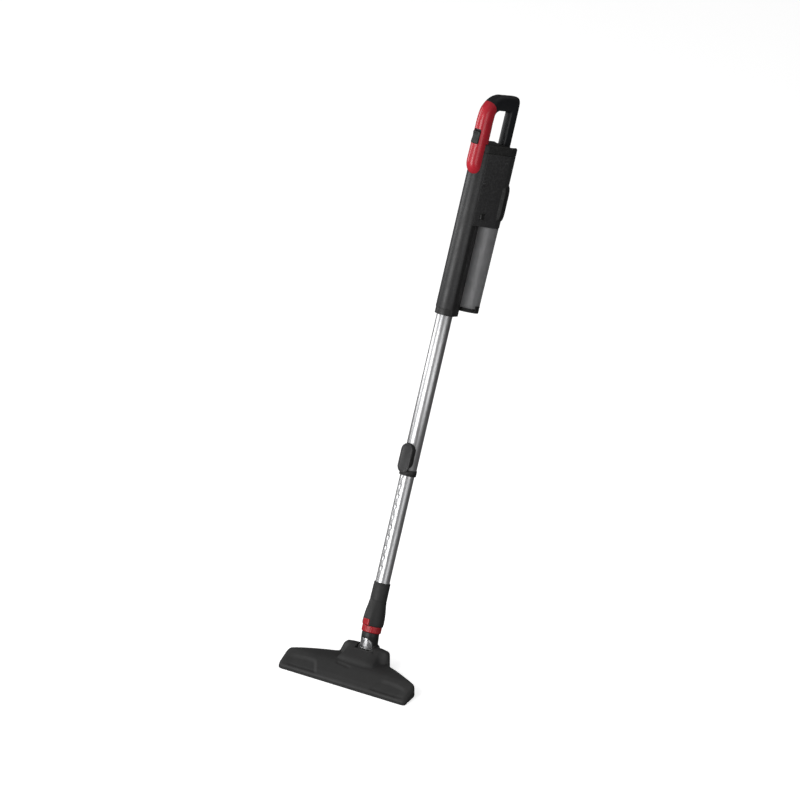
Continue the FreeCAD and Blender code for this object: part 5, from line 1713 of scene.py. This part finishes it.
@dataclass
class Studio:
    """The pale floor, the soft lights and the camera."""

    azimuth: float = 30.0
    elevation: float = 30.85
    distance: float = 26.44
    lens: float = 600.0
    aim_shift: tuple[float, float, float] = (-0.055, -0.0095, -0.050)
    floor_size: float = 60.0
    floor_glow: float = 0.7
    floor_bounce: float = 0.20
    surround: float = 0.14

    def build(self) -> None:
        """Set up the floor, the lights and the camera."""
        low, high = CAD_BOX
        middle = (low + high) / 2
        self.camera(middle + Vector(self.aim_shift))
        self.lights(middle)
        self.floor()
        self.sky()

    def towards(self, azimuth: float, elevation: float) -> Vector:
        """A direction given by an azimuth from the front and an elevation, in degrees."""
        a, e = math.radians(azimuth), math.radians(elevation)
        return Vector((math.sin(a) * math.cos(e), -math.cos(a) * math.cos(e), math.sin(e)))

    def camera(self, aim: Vector) -> None:
        """Put the camera at the viewing angle.

        Args:
            aim: the point it looks at.
        """
        data = bpy.data.cameras.new("camera")
        data.lens, data.sensor_width = self.lens, 36.0
        data.clip_end = 100
        thing = bpy.data.objects.new("camera", data)
        back = self.towards(self.azimuth, self.elevation)
        thing.location = aim + back * self.distance
        thing.rotation_euler = back.to_track_quat("Z", "Y").to_euler()
        bpy.context.scene.collection.objects.link(thing)
        bpy.context.scene.camera = thing

    def lights(self, middle: Vector) -> None:
        """Hang the soft boxes round the object.

        Args:
            middle: the object's middle.
        """
        for name, azimuth, elevation, away, wide, tall, power in (
                ("key_front", -14, 17, 3.2, 1.6, 2.8, 72),
                ("side_left", -78, 18, 3.4, 1.6, 2.6, 42),
                ("overhead", -20, 78, 3.4, 2.4, 2.4, 3), ("rim_rear", 150, 35, 3.4, 1.4, 2.2, 4),
                ("fill_right", 64, 14, 3.6, 2.2, 2.6, 26)):
            data = bpy.data.lights.new(name, "AREA")
            data.shape, data.size, data.size_y, data.energy = "RECTANGLE", wide, tall, power
            thing = bpy.data.objects.new(name, data)
            back = self.towards(azimuth, elevation)
            thing.location = middle + back * away
            thing.rotation_euler = back.to_track_quat("Z", "Y").to_euler()
            bpy.context.scene.collection.objects.link(thing)

    def floor(self) -> None:
        """A wide pale floor at the height that the object stands on."""
        mesh = Mesh("floor", ROW)
        half = self.floor_size / 2 / MM
        level = CAD_BOX[0].z / MM
        mesh.face(mesh.ring([(-half, -half, level), (half, -half, level), (half, half, level),
                             (-half, half, level)]))
        floor = mesh.finish()
        material = bpy.data.materials.new("pale_floor")
        material.use_nodes = True
        tree = material.node_tree
        seen = tree.nodes["Principled BSDF"]
        seen.inputs["Base Color"].default_value = (0.93, 0.93, 0.93, 1)
        seen.inputs["Roughness"].default_value = 0.9
        seen.inputs["Emission Color"].default_value = (1, 1, 1, 1)
        seen.inputs["Emission Strength"].default_value = self.floor_glow
        dull = node(tree, "BsdfDiffuse", {"Color": (*[self.floor_bounce] * 3, 1)})
        choice = node(tree, "MixShader", {0: node(tree, "LightPath").outputs["Is Camera Ray"],
                                          1: dull.outputs[0],
                                          2: seen.outputs[0]})
        tree.links.new(choice.outputs[0], tree.nodes["Material Output"].inputs["Surface"])
        floor.data.materials.append(material)

    def sky(self) -> None:
        """An even white surround, dimmer for the light it casts than for the eye."""
        scene = bpy.context.scene
        scene.view_settings.view_transform = "Standard"
        world = bpy.data.worlds.new("surround")
        world.use_nodes = True
        tree = world.node_tree
        seen = node(tree, "Background", {"Color": (1, 1, 1, 1), "Strength": 1.0})
        tree.nodes["Background"].inputs["Color"].default_value = (1, 1, 1, 1)
        tree.nodes["Background"].inputs["Strength"].default_value = self.surround
        choice = node(tree, "MixShader", {0: node(tree, "LightPath").outputs["Is Camera Ray"],
                                          1: tree.nodes["Background"].outputs[0],
                                          2: seen.outputs[0]})
        tree.links.new(choice.outputs[0], tree.nodes["World Output"].inputs["Surface"])
        scene.world = world


# --- the whole --------------------------------------------------------------------------------


def main() -> None:
    """Build every sub-assembly in order and set the scene round it."""
    logging.basicConfig(level=logging.INFO, format="%(message)s")
    build_groups()
    for assembly in (Telescope(), Casing(), Handle(), DustCup(), Neck(), FloorHead()):
        LOG.info("building %s", type(assembly).__name__)
        assembly.build()
    dress_nodes()
    Studio().build()


if __name__ == "__main__":
    main()
